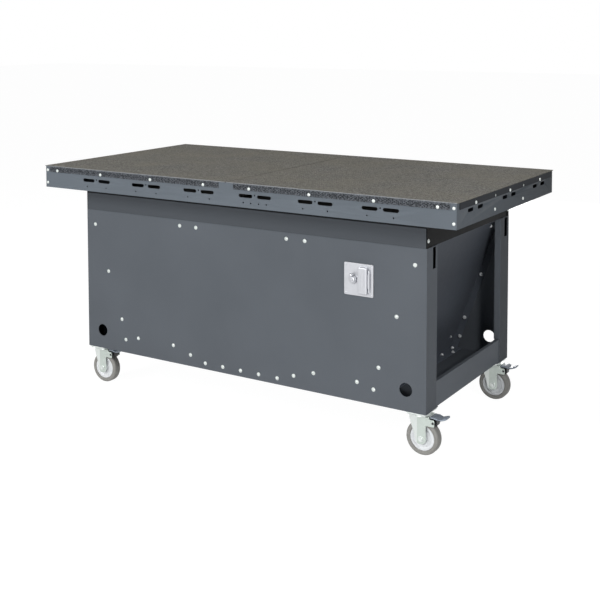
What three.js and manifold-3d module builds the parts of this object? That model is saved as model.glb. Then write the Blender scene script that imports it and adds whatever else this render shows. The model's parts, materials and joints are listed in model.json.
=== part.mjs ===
// A downdraft work table: a perforated top in two halves on a folded rim, a sheet-metal body with
// an open bay at each end, a sloped hopper with filters and a blower inside, and four braked casters.
// Millimetres, +Z up. The origin is on the floor under the middle of the table, X runs along the
// length, and the front with the switch faces -Y.
import * as THREE from "three";
import { mergeVertices } from "three/addons/utils/BufferGeometryUtils.js";
import Module from "manifold-3d";

const wasm = await Module();
wasm.setup();

// Overall sizes
const tableLength = 1854;
const tableWidth = 965;
const tableHeight = 930;
const sideOverhang = 90;
const endOverhang = 146.5;
const floorClearance = 160;
const rimHeight = 88;
const collarHeight = 93.7;

// Clearances shared by all pieces
const seat = 0.3;
const overrun = 6;
const holeSteps = 7;
const barrelSteps = 5;
const slotSteps = 2;
const pinSteps = 4;

// Sheets
const grateSheet = 2.5;
const rimSheet = 2.5;
const collarSheet = 2.5;
const panelSheet = 2.5;
const panSheet = 2.5;
const hopperSheet = 2.5;
const beamSheet = 2.5;

// Grates
const skirtHeight = 26;
const cornerNotch = 24;
const centreNotch = 34;
const grateGap = 1.2;
const grateBorder = 42;
const gratePitch = 134;
const grateHoleDiameter = 82;

// Rim
const rimTopFlange = 30;
const rimFlangeLap = 30;
const rimTabLength = 32;
const slotLength = 58;
const slotHeight = 8.5;
const slotPitch = 258.3;
const slotSpacing = 82;
const slotDrop = 46;
const endSlotLength = 44;
const endSlotPitch = 321;
const endSlotSpacing = 86;
const endSlotDrop = 39;

// Support beams under the grates
const supportOffset = 143;
const supportFlange = 40;
const supportHeight = 82;

// Collar between the rim and the body
const collarFlange = 25;
const collarTab = 15;

// Front and rear panels with their posts
const postWidth = 95;
const postLip = 15;
const panelBottomFlange = 40;
const panelTopFlange = 20;
const panelTopFlangeInset = 45;
const padWidth = 105;
const padLength = 150;
const cornerHoleDiameter = 50;
const cornerHoleInset = 78;
const cornerHoleRise = 77;
const postSlotWidth = 9;
const postSlotHeight = 74;
const postSlotDrop = 41;
const frontPostSlotInset = 62;
const rearPostSlotInset = 38;

// Base pans, which close the bays below and form the end rails
const railHeight = 95;
const railLip = 15;
const panReach = 255;

// Hopper
const hopperLean = THREE.MathUtils.degToRad(20);
const hopperInset = 36;
const hopperFlange = 27.5;
const hopperTopFlange = 30;
const hopperFoot = 50;
const floorRise = 80.4;
const floorUpturn = 34;
const floorFlange = 25;
const floorFlangeInset = 28;
const floorFlangeStart = 20;
const sumpBottomWidth = 448;
const sumpDepth = 46;
const sumpLip = 58;
const sumpPlay = 4;

// Cross beams, which carry the filters between the panels
const crossBeamOffset = 250;
const crossBeamWidth = 110;
const crossBeamLeg = 32;
const crossBeamTab = 46;

// Filters
const filterCount = 3;
const filterHeight = 46;
const filterFrame = 16;
const filterGap = 3;
const filterPlay = 4;
const pleatCount = 12;
const pleatInset = 6;
const pleatThickness = 2;

// Blower
const blowerAxisY = 60;
const blowerStandHeight = 32;
const blowerBaseSheet = 3;
const blowerBaseLead = 30;
const blowerBaseClearance = 60;
const blowerBaseLength = 640;
const blowerWall = 3;
const blowerWidth = 150;
const cutoffRadius = 128;
const scrollRadius = 205;
const cutoffAngle = THREE.MathUtils.degToRad(60);
const scrollSteps = 17;
const outletFlange = 20;
const inletRadius = 90;
const fanSides = 20;
const impellerRadius = 115;
const impellerEye = 86;
const impellerPlate = 3;
const impellerPlay = 15;
const impellerHubRadius = 24;
const impellerHubLength = 44;
const bladeCount = 9;
const bladeRoot = 60;
const bladeThickness = 2.5;
const bladeSweep = THREE.MathUtils.degToRad(42);
const bladeSteps = 3;
const shaftRadius = 9;
const shaftSides = 12;
const shaftHoleRadius = 16;
const motorFlangeRadius = 84;
const motorFlangeThickness = 8;
const motorRadius = 68;
const motorLength = 150;
const motorFins = 10;
const motorFinDepth = 6;
const motorBoreDepth = 40;
const terminalBoxLength = 60;
const terminalBoxWidth = 50;
const terminalBoxHeight = 26;

// Switch and socket cover on the front panel
const coverInset = 263.5;
const coverDrop = 139;
const coverSize = 118;
const coverThickness = 4;
const deviceSpacing = 43;
const bossRadius = 17;
const bossDepth = 9;
const leverShaftRadius = 5;
const leverHubRadius = 12;
const leverHubDepth = 8;
const leverLength = 25;
const leverWidth = 8;
const leverTipWidth = 5;
const boxSize = 104;
const boxDepth = 54;
const boxWall = 2.5;
const panelOpening = 98;
const deviceWidth = 31;
const deviceHeight = 67;
const deviceDepth = 36;
const deviceRise = 3;
const socketFaceRadius = 16.5;
const socketSpacing = 39;
const lidWidth = 37;
const lidHeight = 98;
const lidDepth = 14;
const lidWall = 2;
const lidPinRadius = 1.6;
const knuckleRadius = 3.8;
const lidKnuckleHeight = 52;
const plateKnuckleHeight = 14;

// Casters
const casterInset = 41;
const casterSideInset = 52.5;
const casterPlateLength = 80;
const casterPlateWidth = 104;
const casterPlateThickness = 4;
const raceHeight = 5.5;
const raceRadius = 33;
const raceCollarRadius = 20;
const raceSides = 12;
const crownRaceHeight = 4;
const crownThickness = 4;
const kingpinRadius = 8;
const kingpinHeadRadius = 13;
const kingpinHead = 5;
const wheelRadius = 62.5;
const wheelWidth = 36;
const tyreInnerRadius = 46;
const tyreShoulder = 8;
const wheelSides = 18;
const trail = 10;
const forkThickness = 3;
const forkGap = 44;
const forkTopLength = 79;
const forkDrop = 15;
const forkLead = 31;
const forkWaistRise = 17;
const forkEndRadius = 20;
const bracketReach = 63;
const bracketTop = 136;
const bracketBottom = 113;
const bracketThroat = 28;
const axleRadius = 5;
const axleHeadRadius = 9;
const axleHeadThickness = 5;
const hubRadius = 15;
const hubWidth = 42;
const hubWeb = 10;
const hubRimThickness = 6;
const hubRimWidth = 30;
const brakePinX = 55;
const brakePinZ = 126;
const brakePinRadius = 3;
const brakeWidth = 34;
const pedalRoot = 42;
const pedalShoulder = 60;
const pedalKnee = 74;
const pedalTip = 105;
const pedalLow = 140;
const pedalKneeDrop = 6;
const pedalTipRise = 7;
const pedalThickness = 6;
const pedalWidth = 46;
const shoeGap = 5;
const shoeDepth = 14;
const shoeAngles = [30, 50].map(THREE.MathUtils.degToRad);

// Levels and faces that several pieces share
const halfLength = tableLength / 2;
const halfWidth = tableWidth / 2;
const bodyHalfLength = halfLength - endOverhang;
const bodyHalfWidth = halfWidth - sideOverhang;
const rimTop = tableHeight - grateSheet - seat;
const rimBottom = rimTop - rimHeight;
const collarTop = rimBottom - seat;
const collarBottom = collarTop - collarHeight;
const bodyTop = collarBottom - seat;
const bodyBottom = floorClearance;
const panelInside = bodyHalfWidth - panelSheet;
const insideReach = panelInside - seat;
const panBottom = bodyBottom + panelSheet + seat;
const panTop = panBottom + panSheet;
const railTop = bodyBottom + railHeight;
const panOuter = bodyHalfLength - panelSheet - seat;
const panInner = panOuter - panReach;
const collarEndFace = bodyHalfLength - collarSheet - seat;
const collarEndInside = collarEndFace - collarSheet;
const floorUnder = bodyBottom + floorRise;
const floorTop = floorUnder + hopperSheet;
const sumpLipUnder = floorTop + seat;
const sumpLipTop = sumpLipUnder + hopperSheet;
const sumpBottom = sumpLipUnder - sumpDepth;
const sumpEdge = sumpBottomWidth / 2 + sumpDepth;
const floorInner = sumpEdge + sumpPlay;

// The x of the hopper plate's outer face at a height.
const hopperFace = (z) => bodyHalfLength - hopperInset - (bodyTop - z) * Math.tan(hopperLean);

const finish = (color, roughness, metalness) =>
  new THREE.MeshStandardMaterial({ color, roughness, metalness });
const rimPaint = finish(0x70767e, 0.55, 0.1);
const bodyPaint = finish(0x5f636b, 0.6, 0.1);
const gratePaint = finish(0x4a4845, 0.7, 0.1);
const innerPaint = finish(0x3f434a, 0.65, 0.1);
const zinc = finish(0xc9cfd2, 0.35, 0.9);
const castCover = finish(0xb9bcbe, 0.4, 0.7);
const darkMoulding = finish(0x202124, 0.6, 0);
const whiteMoulding = finish(0xe6e8ea, 0.5, 0);
const greyRubber = finish(0x8a8a86, 0.85, 0);
const pleatPaper = finish(0xd8d2c0, 0.9, 0);
const motorPaint = finish(0x3a3f46, 0.55, 0.2);

// A closed geometry as a solid that can be joined and cut.
function solid(geometry) {
  const bare = geometry.index ? geometry.toNonIndexed() : geometry.clone();
  bare.deleteAttribute("normal");
  bare.deleteAttribute("uv");
  const merged = mergeVertices(bare);
  const corners = merged.index.array;
  const kept = [];
  for (let i = 0; i < corners.length; i += 3) {
    const [a, b, c] = corners.slice(i, i + 3);
    if (a !== b && b !== c && a !== c) kept.push(a, b, c);
  }
  return new wasm.Manifold(
    new wasm.Mesh({
      numProp: 3,
      vertProperties: merged.attributes.position.array,
      triVerts: new Uint32Array(kept),
    }),
  );
}

// A box between two places on each axis.
function slab(x, y, z) {
  const box = new THREE.BoxGeometry(x[1] - x[0], y[1] - y[0], z[1] - z[0]);
  box.translate((x[0] + x[1]) / 2, (y[0] + y[1]) / 2, (z[0] + z[1]) / 2);
  return solid(box);
}

// A shape, or a list of shapes, extruded along an axis between two places. Its own plane is (y, z)
// along x, (x, z) along y and (x, y) along z.
const frames = {
  x: [new THREE.Vector3(0, 1, 0), new THREE.Vector3(0, 0, 1), new THREE.Vector3(1, 0, 0)],
  y: [new THREE.Vector3(1, 0, 0), new THREE.Vector3(0, 0, 1), new THREE.Vector3(0, -1, 0)],
  z: [new THREE.Vector3(1, 0, 0), new THREE.Vector3(0, 1, 0), new THREE.Vector3(0, 0, 1)],
};
function along(axis, shape, from, to, curveSegments = 4) {
  const settings = { depth: to - from, bevelEnabled: false, curveSegments };
  const geometry = new THREE.ExtrudeGeometry(shape, settings);
  const [u, v, w] = frames[axis];
  geometry.applyMatrix4(new THREE.Matrix4().makeBasis(u, v, w));
  const start = axis === "y" ? to : from;
  geometry.translate(axis === "x" ? start : 0, axis === "y" ? start : 0, axis === "z" ? start : 0);
  return solid(geometry);
}

// The outline of a sheet folded along a line of points. The sheet lies on the line's left side, or
// on its right side where the thickness is negative.
function folded(points, thickness) {
  const line = points.map(([u, v]) => new THREE.Vector2(u, v));
  const normals = line.slice(1).map((p, i) => {
    const run = p.clone().sub(line[i]).normalize();
    return new THREE.Vector2(-run.y, run.x);
  });
  const offset = line.map((p, i) => {
    const before = normals[Math.max(i - 1, 0)];
    const after = normals[Math.min(i, normals.length - 1)];
    const mitre = before.clone().add(after).normalize();
    return p.clone().addScaledVector(mitre, thickness / mitre.dot(before));
  });
  return new THREE.Shape([...line, ...offset.reverse()]);
}

// A solid turned about an axis from a profile of [radius, place along the axis] points. A profile
// that doesn't start on the axis is closed.
function turned(axis, profile, sides) {
  const points = profile.map(([r, h]) => new THREE.Vector2(r, h));
  if (THREE.ShapeUtils.area(points) < 0) points.reverse();
  if (points[0].x > 0) points.push(points[0].clone());
  const geometry = new THREE.LatheGeometry(points, sides);
  if (axis === "z") geometry.rotateX(Math.PI / 2);
  if (axis === "x") geometry.rotateZ(-Math.PI / 2);
  return solid(geometry);
}

function discShape(u, v, radius) {
  return new THREE.Shape().absarc(u, v, radius, 0, 2 * Math.PI);
}

// A slot with round ends, lying along its longer side.
function slotShape(u, v, width, height) {
  const radius = Math.min(width, height) / 2;
  const reach = Math.max(width, height) / 2 - radius;
  const shape = new THREE.Shape();
  if (width > height) {
    shape.absarc(u + reach, v, radius, -Math.PI / 2, Math.PI / 2);
    shape.absarc(u - reach, v, radius, Math.PI / 2, 1.5 * Math.PI);
  } else {
    shape.absarc(u, v + reach, radius, 0, Math.PI);
    shape.absarc(u, v - reach, radius, Math.PI, 2 * Math.PI);
  }
  shape.closePath();
  return shape;
}

function rectangle(u, v) {
  return new THREE.Shape([
    new THREE.Vector2(u[0], v[0]),
    new THREE.Vector2(u[1], v[0]),
    new THREE.Vector2(u[1], v[1]),
    new THREE.Vector2(u[0], v[1]),
  ]);
}

const joined = (...solids) => solids.reduce((sum, s) => sum.add(s));
const without = (body, ...cutters) => cutters.reduce((rest, cutter) => rest.subtract(cutter), body);
const around = (centre, half) => [centre - half, centre + half];

// A named mesh of a solid, turned half round the Z axis where the piece is the far one of a pair.
function piece(name, body, material, farSide = false) {
  const { vertProperties, triVerts } = body.getMesh();
  const geometry = new THREE.BufferGeometry();
  geometry.setAttribute("position", new THREE.BufferAttribute(vertProperties, 3));
  geometry.setIndex(new THREE.BufferAttribute(triVerts, 1));
  geometry.computeVertexNormals();
  const mesh = new THREE.Mesh(geometry, material);
  mesh.name = name;
  mesh.rotation.z = farSide ? Math.PI : 0;
  return mesh;
}

// One half of the top: a sheet with rows of holes and a skirt folded down on three sides. The skirt
// is notched at the table's corners and middle, where the rim shows.
function makeGrate() {
  const out = seat + grateSheet;
  const nearX = centreNotch;
  const farX = halfLength - cornerNotch;
  const farY = halfWidth - cornerNotch;
  const quarter = [
    [grateGap / 2, halfWidth],
    [nearX, halfWidth],
    [nearX, halfWidth + out],
    [farX, halfWidth + out],
    [farX, halfWidth],
    [halfLength, halfWidth],
    [halfLength, farY],
    [halfLength + out, farY],
  ];
  const mirrored = quarter.map(([x, y]) => [x, -y]).reverse();
  const outline = new THREE.Shape([...quarter, ...mirrored].map(([x, y]) => new THREE.Vector2(x, y)));

  const radius = grateHoleDiameter / 2;
  const rowPitch = gratePitch * Math.sin(Math.PI / 3);
  const spanX = halfLength - grateGap / 2 - 2 * (grateBorder + radius);
  const spanY = 2 * (halfWidth - grateBorder - radius);
  const rows = Math.floor(spanY / rowPitch);
  const columns = Math.floor(spanX / gratePitch);
  const middleX = (halfLength + grateGap / 2) / 2;
  const holes = [];
  for (let row = 0; row <= rows; row++) {
    const inRow = row % 2 ? columns - 1 : columns;
    for (let column = 0; column <= inRow; column++) {
      const x = middleX + (column - inRow / 2) * gratePitch;
      const y = (row - rows / 2) * rowPitch;
      holes.push(discShape(x, y, radius));
    }
  }
  const sheet = along("z", outline, tableHeight - grateSheet, tableHeight);
  const cutters = along("z", holes, tableHeight - grateSheet - overrun, tableHeight + overrun, 3);

  const drop = [tableHeight - skirtHeight, tableHeight];
  const sideSkirt = [halfWidth + seat, halfWidth + out];
  return joined(
    without(sheet, cutters),
    slab([nearX, farX], sideSkirt, drop),
    slab([nearX, farX], [-sideSkirt[1], -sideSkirt[0]], drop),
    slab([halfLength + seat, halfLength + out], [-farY, farY], drop),
  );
}

// The cutters of one pair of rim slots, in the rim face's own plane.
function slotPair(axis, centre, length, spacing, drop, face) {
  const level = rimTop - drop;
  const span = [face - rimSheet - overrun, face + overrun];
  return [-1, 1].map((side) =>
    along(axis, slotShape(centre + (side * spacing) / 2, level, length, slotHeight), ...span, 2),
  );
}

// A long rim channel, drawn on the rear side: its flanges turn in, and the bottom one laps the collar.
function makeLongRim() {
  const line = [
    [halfWidth - rimTopFlange, rimTop],
    [halfWidth, rimTop],
    [halfWidth, rimBottom],
    [bodyHalfWidth - rimFlangeLap, rimBottom],
  ];
  const reach = halfLength - rimSheet - seat;
  const channel = along("x", folded(line, -rimSheet), -reach, reach);
  const web = slab([-halfLength, halfLength], [halfWidth - rimSheet, halfWidth], [rimBottom, rimTop]);
  const cutters = [];
  const pairsPerHalf = Math.floor((halfLength - slotSpacing) / slotPitch);
  for (let i = 0; i < pairsPerHalf; i++) {
    for (const side of [-1, 1]) {
      const x = side * (i + 0.5) * slotPitch;
      cutters.push(...slotPair("y", x, slotLength, slotSpacing, slotDrop, halfWidth));
    }
  }
  return without(joined(channel, web), ...cutters);
}

// An end rim channel, drawn on the right side, with a tab at each end behind the long rim.
function makeEndRim() {
  const reach = halfWidth - rimSheet - seat;
  const topReach = halfWidth - rimTopFlange - seat;
  const bottomReach = bodyHalfWidth - rimFlangeLap - seat;
  const line = [
    [halfLength - rimTopFlange, rimTop],
    [halfLength, rimTop],
    [halfLength, rimBottom],
    [bodyHalfLength - rimFlangeLap, rimBottom],
  ];
  const channel = along("y", folded(line, -rimSheet), -reach, reach);
  const inner = [bodyHalfLength - rimFlangeLap - overrun, halfLength - rimSheet];
  const topZone = [rimTop - rimSheet - overrun, rimTop + overrun];
  const bottomZone = [rimBottom - overrun, rimBottom + rimSheet + overrun];
  const reliefs = [-1, 1].flatMap((side) => {
    const zone = (from) => [side * from, side * (reach + overrun)].sort((a, b) => a - b);
    return [slab(inner, zone(topReach), topZone), slab(inner, zone(bottomReach), bottomZone)];
  });
  const webZone = [rimBottom + rimSheet + seat, rimTop - rimSheet - seat];
  const tabs = [-1, 1].map((side) => {
    const tab = [side * reach, side * (reach - rimSheet)].sort((a, b) => a - b);
    return slab([halfLength - rimTabLength, halfLength - rimSheet / 2], tab, webZone);
  });
  const cutters = [-1, 0, 1].flatMap((i) =>
    slotPair("x", i * endSlotPitch, endSlotLength, endSlotSpacing, endSlotDrop, halfLength),
  );
  return without(joined(without(channel, ...reliefs), ...tabs), ...cutters);
}

// A support beam under the grates, drawn on the rear side, held to the end rims by its end tabs.
function makeSupportBeam() {
  const near = supportOffset - supportFlange / 2;
  const far = supportOffset + supportFlange / 2;
  const low = rimTop - supportHeight;
  const reach = halfLength - rimSheet - seat;
  const line = [
    [near, rimTop],
    [far, rimTop],
    [far, low],
    [near, low],
  ];
  const channel = along("x", folded(line, -beamSheet), -reach, reach);
  const underFlange = rimTop - rimSheet - seat;
  const ends = [-1, 1].map((side) => {
    const tab = [side * reach, side * (reach - beamSheet)].sort((a, b) => a - b);
    return slab(tab, [near, far], [low, underFlange]);
  });
  const reliefs = [-1, 1].map((side) => {
    const zone = [side * (halfLength - rimTopFlange - seat), side * (reach + overrun)];
    zone.sort((a, b) => a - b);
    return slab(zone, [near - overrun, far + overrun], [underFlange, rimTop + overrun]);
  });
  return without(joined(channel, ...ends), ...reliefs);
}

// A long collar sheet, drawn on the rear side. Its bottom flange is the ledge that the filters rest on.
function makeLongCollar() {
  const flangeReach = collarEndInside - seat;
  const line = [
    [bodyHalfWidth - collarFlange, collarTop],
    [bodyHalfWidth, collarTop],
    [bodyHalfWidth, collarBottom],
    [bodyHalfWidth - collarFlange, collarBottom],
  ];
  const channel = along("x", folded(line, -collarSheet), -flangeReach, flangeReach);
  const height = [collarBottom, collarTop];
  const face = [bodyHalfWidth - collarSheet, bodyHalfWidth];
  const web = slab([-bodyHalfLength, bodyHalfLength], face, height);
  const tabs = [-1, 1].map((side) => {
    const tab = [side * bodyHalfLength, side * (bodyHalfLength - collarSheet)].sort((a, b) => a - b);
    return slab(tab, [bodyHalfWidth - collarTab, bodyHalfWidth], height);
  });
  return joined(channel, web, ...tabs);
}

function makeEndCollar() {
  const line = [
    [collarEndFace - collarFlange, collarTop],
    [collarEndFace, collarTop],
    [collarEndFace, collarBottom],
    [collarEndFace - collarFlange, collarBottom],
  ];
  const flangeReach = bodyHalfWidth - collarFlange - seat;
  const channel = along("y", folded(line, -collarSheet), -flangeReach, flangeReach);
  const webReach = bodyHalfWidth - collarSheet - seat;
  const web = slab([collarEndInside, collarEndFace], [-webReach, webReach], [collarBottom, collarTop]);
  return joined(channel, web);
}

// The cutters of the panels' and posts' own faces run from inside the sheet to outside it.
const throughFace = [panelInside - overrun, bodyHalfWidth + overrun];
const postJoint = bodyHalfLength - padLength;
const bottomFlangeZone = [bodyBottom, bodyBottom + panelSheet];
const topFlangeZone = [bodyTop - panelSheet, bodyTop];
const topFlangeSide = [bodyHalfWidth - panelTopFlange, panelInside + panelSheet / 2];

// A body panel between its posts, drawn on the rear side: a long face with a bottom flange, and a
// top flange that stops at the cross beams. The panel has openings of its own.
function makePanel(openings) {
  const reach = [-postJoint + seat, postJoint - seat];
  const face = slab(reach, [panelInside, bodyHalfWidth], [bodyBottom, bodyTop]);
  const bottom = slab(reach, [bodyHalfWidth - panelBottomFlange, panelInside + panelSheet / 2],
    bottomFlangeZone);
  const top = slab(reach, topFlangeSide, topFlangeZone);
  const beamNotches = [-1, 1].map((side) =>
    slab(
      around(side * crossBeamOffset, crossBeamWidth / 2 + seat),
      [bodyHalfWidth - panelTopFlange - overrun, panelInside],
      [bodyTop - panelSheet - overrun, bodyTop + overrun],
    ),
  );
  return without(joined(face, bottom, without(top, ...beamNotches)), ...openings);
}

// A corner post, drawn at the rear right: the end of the panel's face, which turns in along the end
// of the body and ends in a lip, with a pad over the caster, a round hole and a slot.
function makePost(slotInset) {
  const postEdge = bodyHalfWidth - postWidth;
  const lipEnd = bodyHalfLength - postLip;
  const line = [
    [postJoint, bodyHalfWidth],
    [bodyHalfLength, bodyHalfWidth],
    [bodyHalfLength, postEdge],
    [lipEnd, postEdge],
  ];
  const face = along("z", folded(line, -panelSheet), bodyBottom, bodyTop);
  const lipZone = [lipEnd - overrun, bodyHalfLength - panelSheet];
  const acrossLip = [postEdge - overrun, postEdge + panelSheet + overrun];
  const lipCuts = [
    slab(lipZone, acrossLip, [bodyBottom, railTop + seat]),
    slab(lipZone, acrossLip, [bodyTop - hopperSheet - seat, bodyTop]),
  ];
  const pad = slab([postJoint, bodyHalfLength - panelSheet / 2],
    [bodyHalfWidth - padWidth, panelInside + panelSheet / 2], bottomFlangeZone);
  const topFlange = slab([postJoint, bodyHalfLength - panelTopFlangeInset], topFlangeSide, topFlangeZone);
  const hole = discShape(bodyHalfLength - cornerHoleInset, bodyBottom + cornerHoleRise,
    cornerHoleDiameter / 2);
  const slot = slotShape(bodyHalfWidth - slotInset, bodyTop - postSlotDrop, postSlotWidth,
    postSlotHeight);
  return without(
    joined(without(face, ...lipCuts), pad, topFlange),
    along("y", hole, ...throughFace, holeSteps),
    along("x", slot, lipEnd, bodyHalfLength + overrun, slotSteps),
  );
}

// A base pan, drawn on the right side: the floor of the bay, and the end rail with its lip.
function makeBasePan() {
  const line = [
    [panOuter - railLip, railTop],
    [panOuter, railTop],
    [panOuter, panBottom],
    [panInner, panBottom],
  ];
  return along("y", folded(line, -panSheet), -insideReach, insideReach);
}

// A hopper end plate, drawn on the right side: a leaning channel with its flanges against the
// panels, a level top flange under the collar and a foot on the base pan.
function makeHopperEnd() {
  const outward = new THREE.Vector3(Math.cos(hopperLean), 0, -Math.sin(hopperLean));
  const down = new THREE.Vector3(-Math.sin(hopperLean), 0, -Math.cos(hopperLean));
  const line = [
    [-insideReach, hopperFlange],
    [-insideReach, 0],
    [insideReach, 0],
    [insideReach, hopperFlange],
  ];
  const foot = panTop + seat;
  const slope = (bodyTop - foot) / Math.cos(hopperLean);
  const margin = hopperFlange + overrun;
  const settings = { depth: slope + 2 * margin, bevelEnabled: false };
  const geometry = new THREE.ExtrudeGeometry(folded(line, hopperSheet), settings);
  geometry.applyMatrix4(new THREE.Matrix4().makeBasis(new THREE.Vector3(0, 1, 0), outward, down));
  const start = new THREE.Vector3(hopperFace(bodyTop), 0, bodyTop).addScaledVector(down, -margin);
  geometry.translate(start.x, start.y, start.z);

  const acrossX = [0, bodyHalfLength + margin];
  const acrossY = [-bodyHalfWidth, bodyHalfWidth];
  const above = slab(acrossX, acrossY, [bodyTop, bodyTop + 2 * margin]);
  const below = slab(acrossX, acrossY, [foot - 2 * margin, foot]);
  const lap = hopperSheet / 2;
  const topFace = hopperFace(bodyTop);
  const footFace = hopperFace(foot);
  return joined(
    without(solid(geometry), above, below),
    slab([topFace - lap, topFace + hopperTopFlange], [-insideReach, insideReach],
      [bodyTop - hopperSheet, bodyTop]),
    slab([footFace + lap, footFace + hopperFoot], [-insideReach, insideReach],
      [foot, foot + hopperSheet]),
  );
}

// A hopper floor plate, drawn on the right side, turned up against the end plate, with flanges
// down the panels.
function makeHopperFloor() {
  const corner = hopperFace(floorUnder) - (hopperSheet + seat) / Math.cos(hopperLean);
  const line = [
    [corner + floorUpturn * Math.sin(hopperLean), floorUnder + floorUpturn * Math.cos(hopperLean)],
    [corner, floorUnder],
    [floorInner, floorUnder],
  ];
  const plate = along("y", folded(line, -hopperSheet), -insideReach, insideReach);
  const flangeX = [floorInner + floorFlangeStart, corner - floorFlangeInset];
  const flangeZ = [floorUnder - floorFlange, floorUnder + hopperSheet / 2];
  const flanges = [-1, 1].map((side) => {
    const y = [side * insideReach, side * (insideReach - hopperSheet)].sort((a, b) => a - b);
    return slab(flangeX, y, flangeZ);
  });
  return joined(plate, ...flanges);
}

// The sump pan: a shallow trough between the floor plates, resting on them by its lips.
function makeSumpPan() {
  const trough = [
    [-sumpEdge, sumpLipUnder],
    [-sumpBottomWidth / 2, sumpBottom],
    [sumpBottomWidth / 2, sumpBottom],
    [sumpEdge, sumpLipUnder],
  ];
  const line = [[-sumpEdge - sumpLip, sumpLipUnder], ...trough, [sumpEdge + sumpLip, sumpLipUnder]];
  const pan = along("y", folded(line, hopperSheet), -insideReach, insideReach);
  const flangeShape = folded(trough, -floorFlange);
  return joined(
    pan,
    along("y", flangeShape, insideReach - hopperSheet, insideReach),
    along("y", flangeShape, -insideReach, -insideReach + hopperSheet),
  );
}

function makeCrossBeam() {
  const half = crossBeamWidth / 2;
  const line = [
    [-half, bodyTop - crossBeamLeg],
    [-half, bodyTop],
    [half, bodyTop],
    [half, bodyTop - crossBeamLeg],
  ];
  const beam = along("y", folded(line, -beamSheet), -insideReach, insideReach);
  const tabs = [-1, 1].map((side) => {
    const y = [side * insideReach, side * (insideReach - beamSheet)].sort((a, b) => a - b);
    return slab([-half, half], y, [bodyTop - crossBeamTab, bodyTop]);
  });
  return joined(beam, ...tabs);
}

// A pleated panel filter: a frame round a sheet folded up and down.
const filterBottom = collarBottom + collarSheet + seat;
const filterSpan = 2 * (collarEndInside - filterPlay);
const filterWidth = (filterSpan - (filterCount - 1) * filterGap) / filterCount;
function makeFilter() {
  const halfX = filterWidth / 2;
  const halfY = bodyHalfWidth - collarSheet - filterPlay;
  const ring = rectangle([-halfX, halfX], [-halfY, halfY]);
  ring.holes.push(rectangle(around(0, halfX - filterFrame), around(0, halfY - filterFrame)));
  const frame = along("z", ring, filterBottom, filterBottom + filterHeight);
  const low = filterBottom + pleatInset;
  const high = filterBottom + filterHeight - 2 * pleatInset;
  const reach = halfX - filterFrame / 2;
  const zigzag = [];
  for (let i = 0; i <= 2 * pleatCount; i++) {
    zigzag.push([-reach + (i * reach) / pleatCount, i % 2 ? high : low]);
  }
  const inY = halfY - filterFrame / 2;
  return joined(frame, along("y", folded(zigzag, pleatThickness), -inY, inY));
}

// The blower stands on the sump pan's lips, over the sump, and blows out through the rear panel.
const blowerBaseTop = sumpLipTop + seat + blowerStandHeight;
const blowerAxisZ = blowerBaseTop + seat + blowerWall + scrollRadius;
const blowerHalf = blowerWidth / 2;
const blowerSide = blowerHalf + blowerWall;
const tongueDrop = cutoffRadius * Math.sin(cutoffAngle);
const outletLength = insideReach - blowerAxisY;

function makeBlowerBase() {
  const near = blowerAxisY - blowerBaseLead;
  const far = insideReach - blowerBaseClearance;
  const foot = sumpLipTop + seat;
  const line = [
    [near, foot],
    [near, blowerBaseTop],
    [far, blowerBaseTop],
    [far, foot],
  ];
  const half = blowerBaseLength / 2;
  return along("x", folded(line, -blowerBaseSheet), -half, half);
}

// The scroll's outline about the shaft, in the (y, z) plane: its radius grows steadily from the
// tongue round to the bottom.
function scrollShape(offset) {
  const points = [];
  const sweep = 1.5 * Math.PI + cutoffAngle;
  for (let i = 0; i <= scrollSteps; i++) {
    const share = i / scrollSteps;
    const angle = share * sweep - cutoffAngle;
    const radius = cutoffRadius + (scrollRadius - cutoffRadius) * share + offset;
    points.push(new THREE.Vector2(radius * Math.cos(angle), radius * Math.sin(angle)));
  }
  return new THREE.Shape(points);
}

// The duct's outside, from the shaft's upright plane to the rear panel.
const ductZone = [-scrollRadius - blowerWall, -tongueDrop + blowerWall];

function makeBlowerHousing() {
  const outer = along("x", scrollShape(blowerWall), -blowerSide, blowerSide);
  const inner = along("x", scrollShape(0), -blowerHalf, blowerHalf);
  const ductRoom = slab(around(0, blowerSide + overrun), [0, outletLength],
    [ductZone[0] - overrun, ductZone[1] + seat]);
  const inlet = along("x", discShape(0, 0, inletRadius), 0, blowerSide + overrun, fanSides / 2);
  const shaftHole = along("x", discShape(0, 0, shaftHoleRadius), -blowerSide - overrun, 0,
    shaftSides / 2);
  return without(outer, inner, ductRoom, inlet, shaftHole);
}

// The duct from the scroll to the rear panel, open above to the scroll, with a flange at its end.
function makeBlowerDuct() {
  const duct = slab([-blowerSide, blowerSide], [seat, outletLength], ductZone);
  const ductHole = slab([-blowerHalf, blowerHalf], [0, outletLength + overrun],
    [-scrollRadius, -tongueDrop]);
  const underScroll = along("x", scrollShape(0), -blowerHalf, blowerHalf);
  const flange = slab(around(0, blowerSide + outletFlange), [outletLength - blowerWall, outletLength],
    [ductZone[0] - outletFlange, ductZone[1] + outletFlange]);
  return without(joined(duct, flange), ductHole, underScroll);
}

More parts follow.
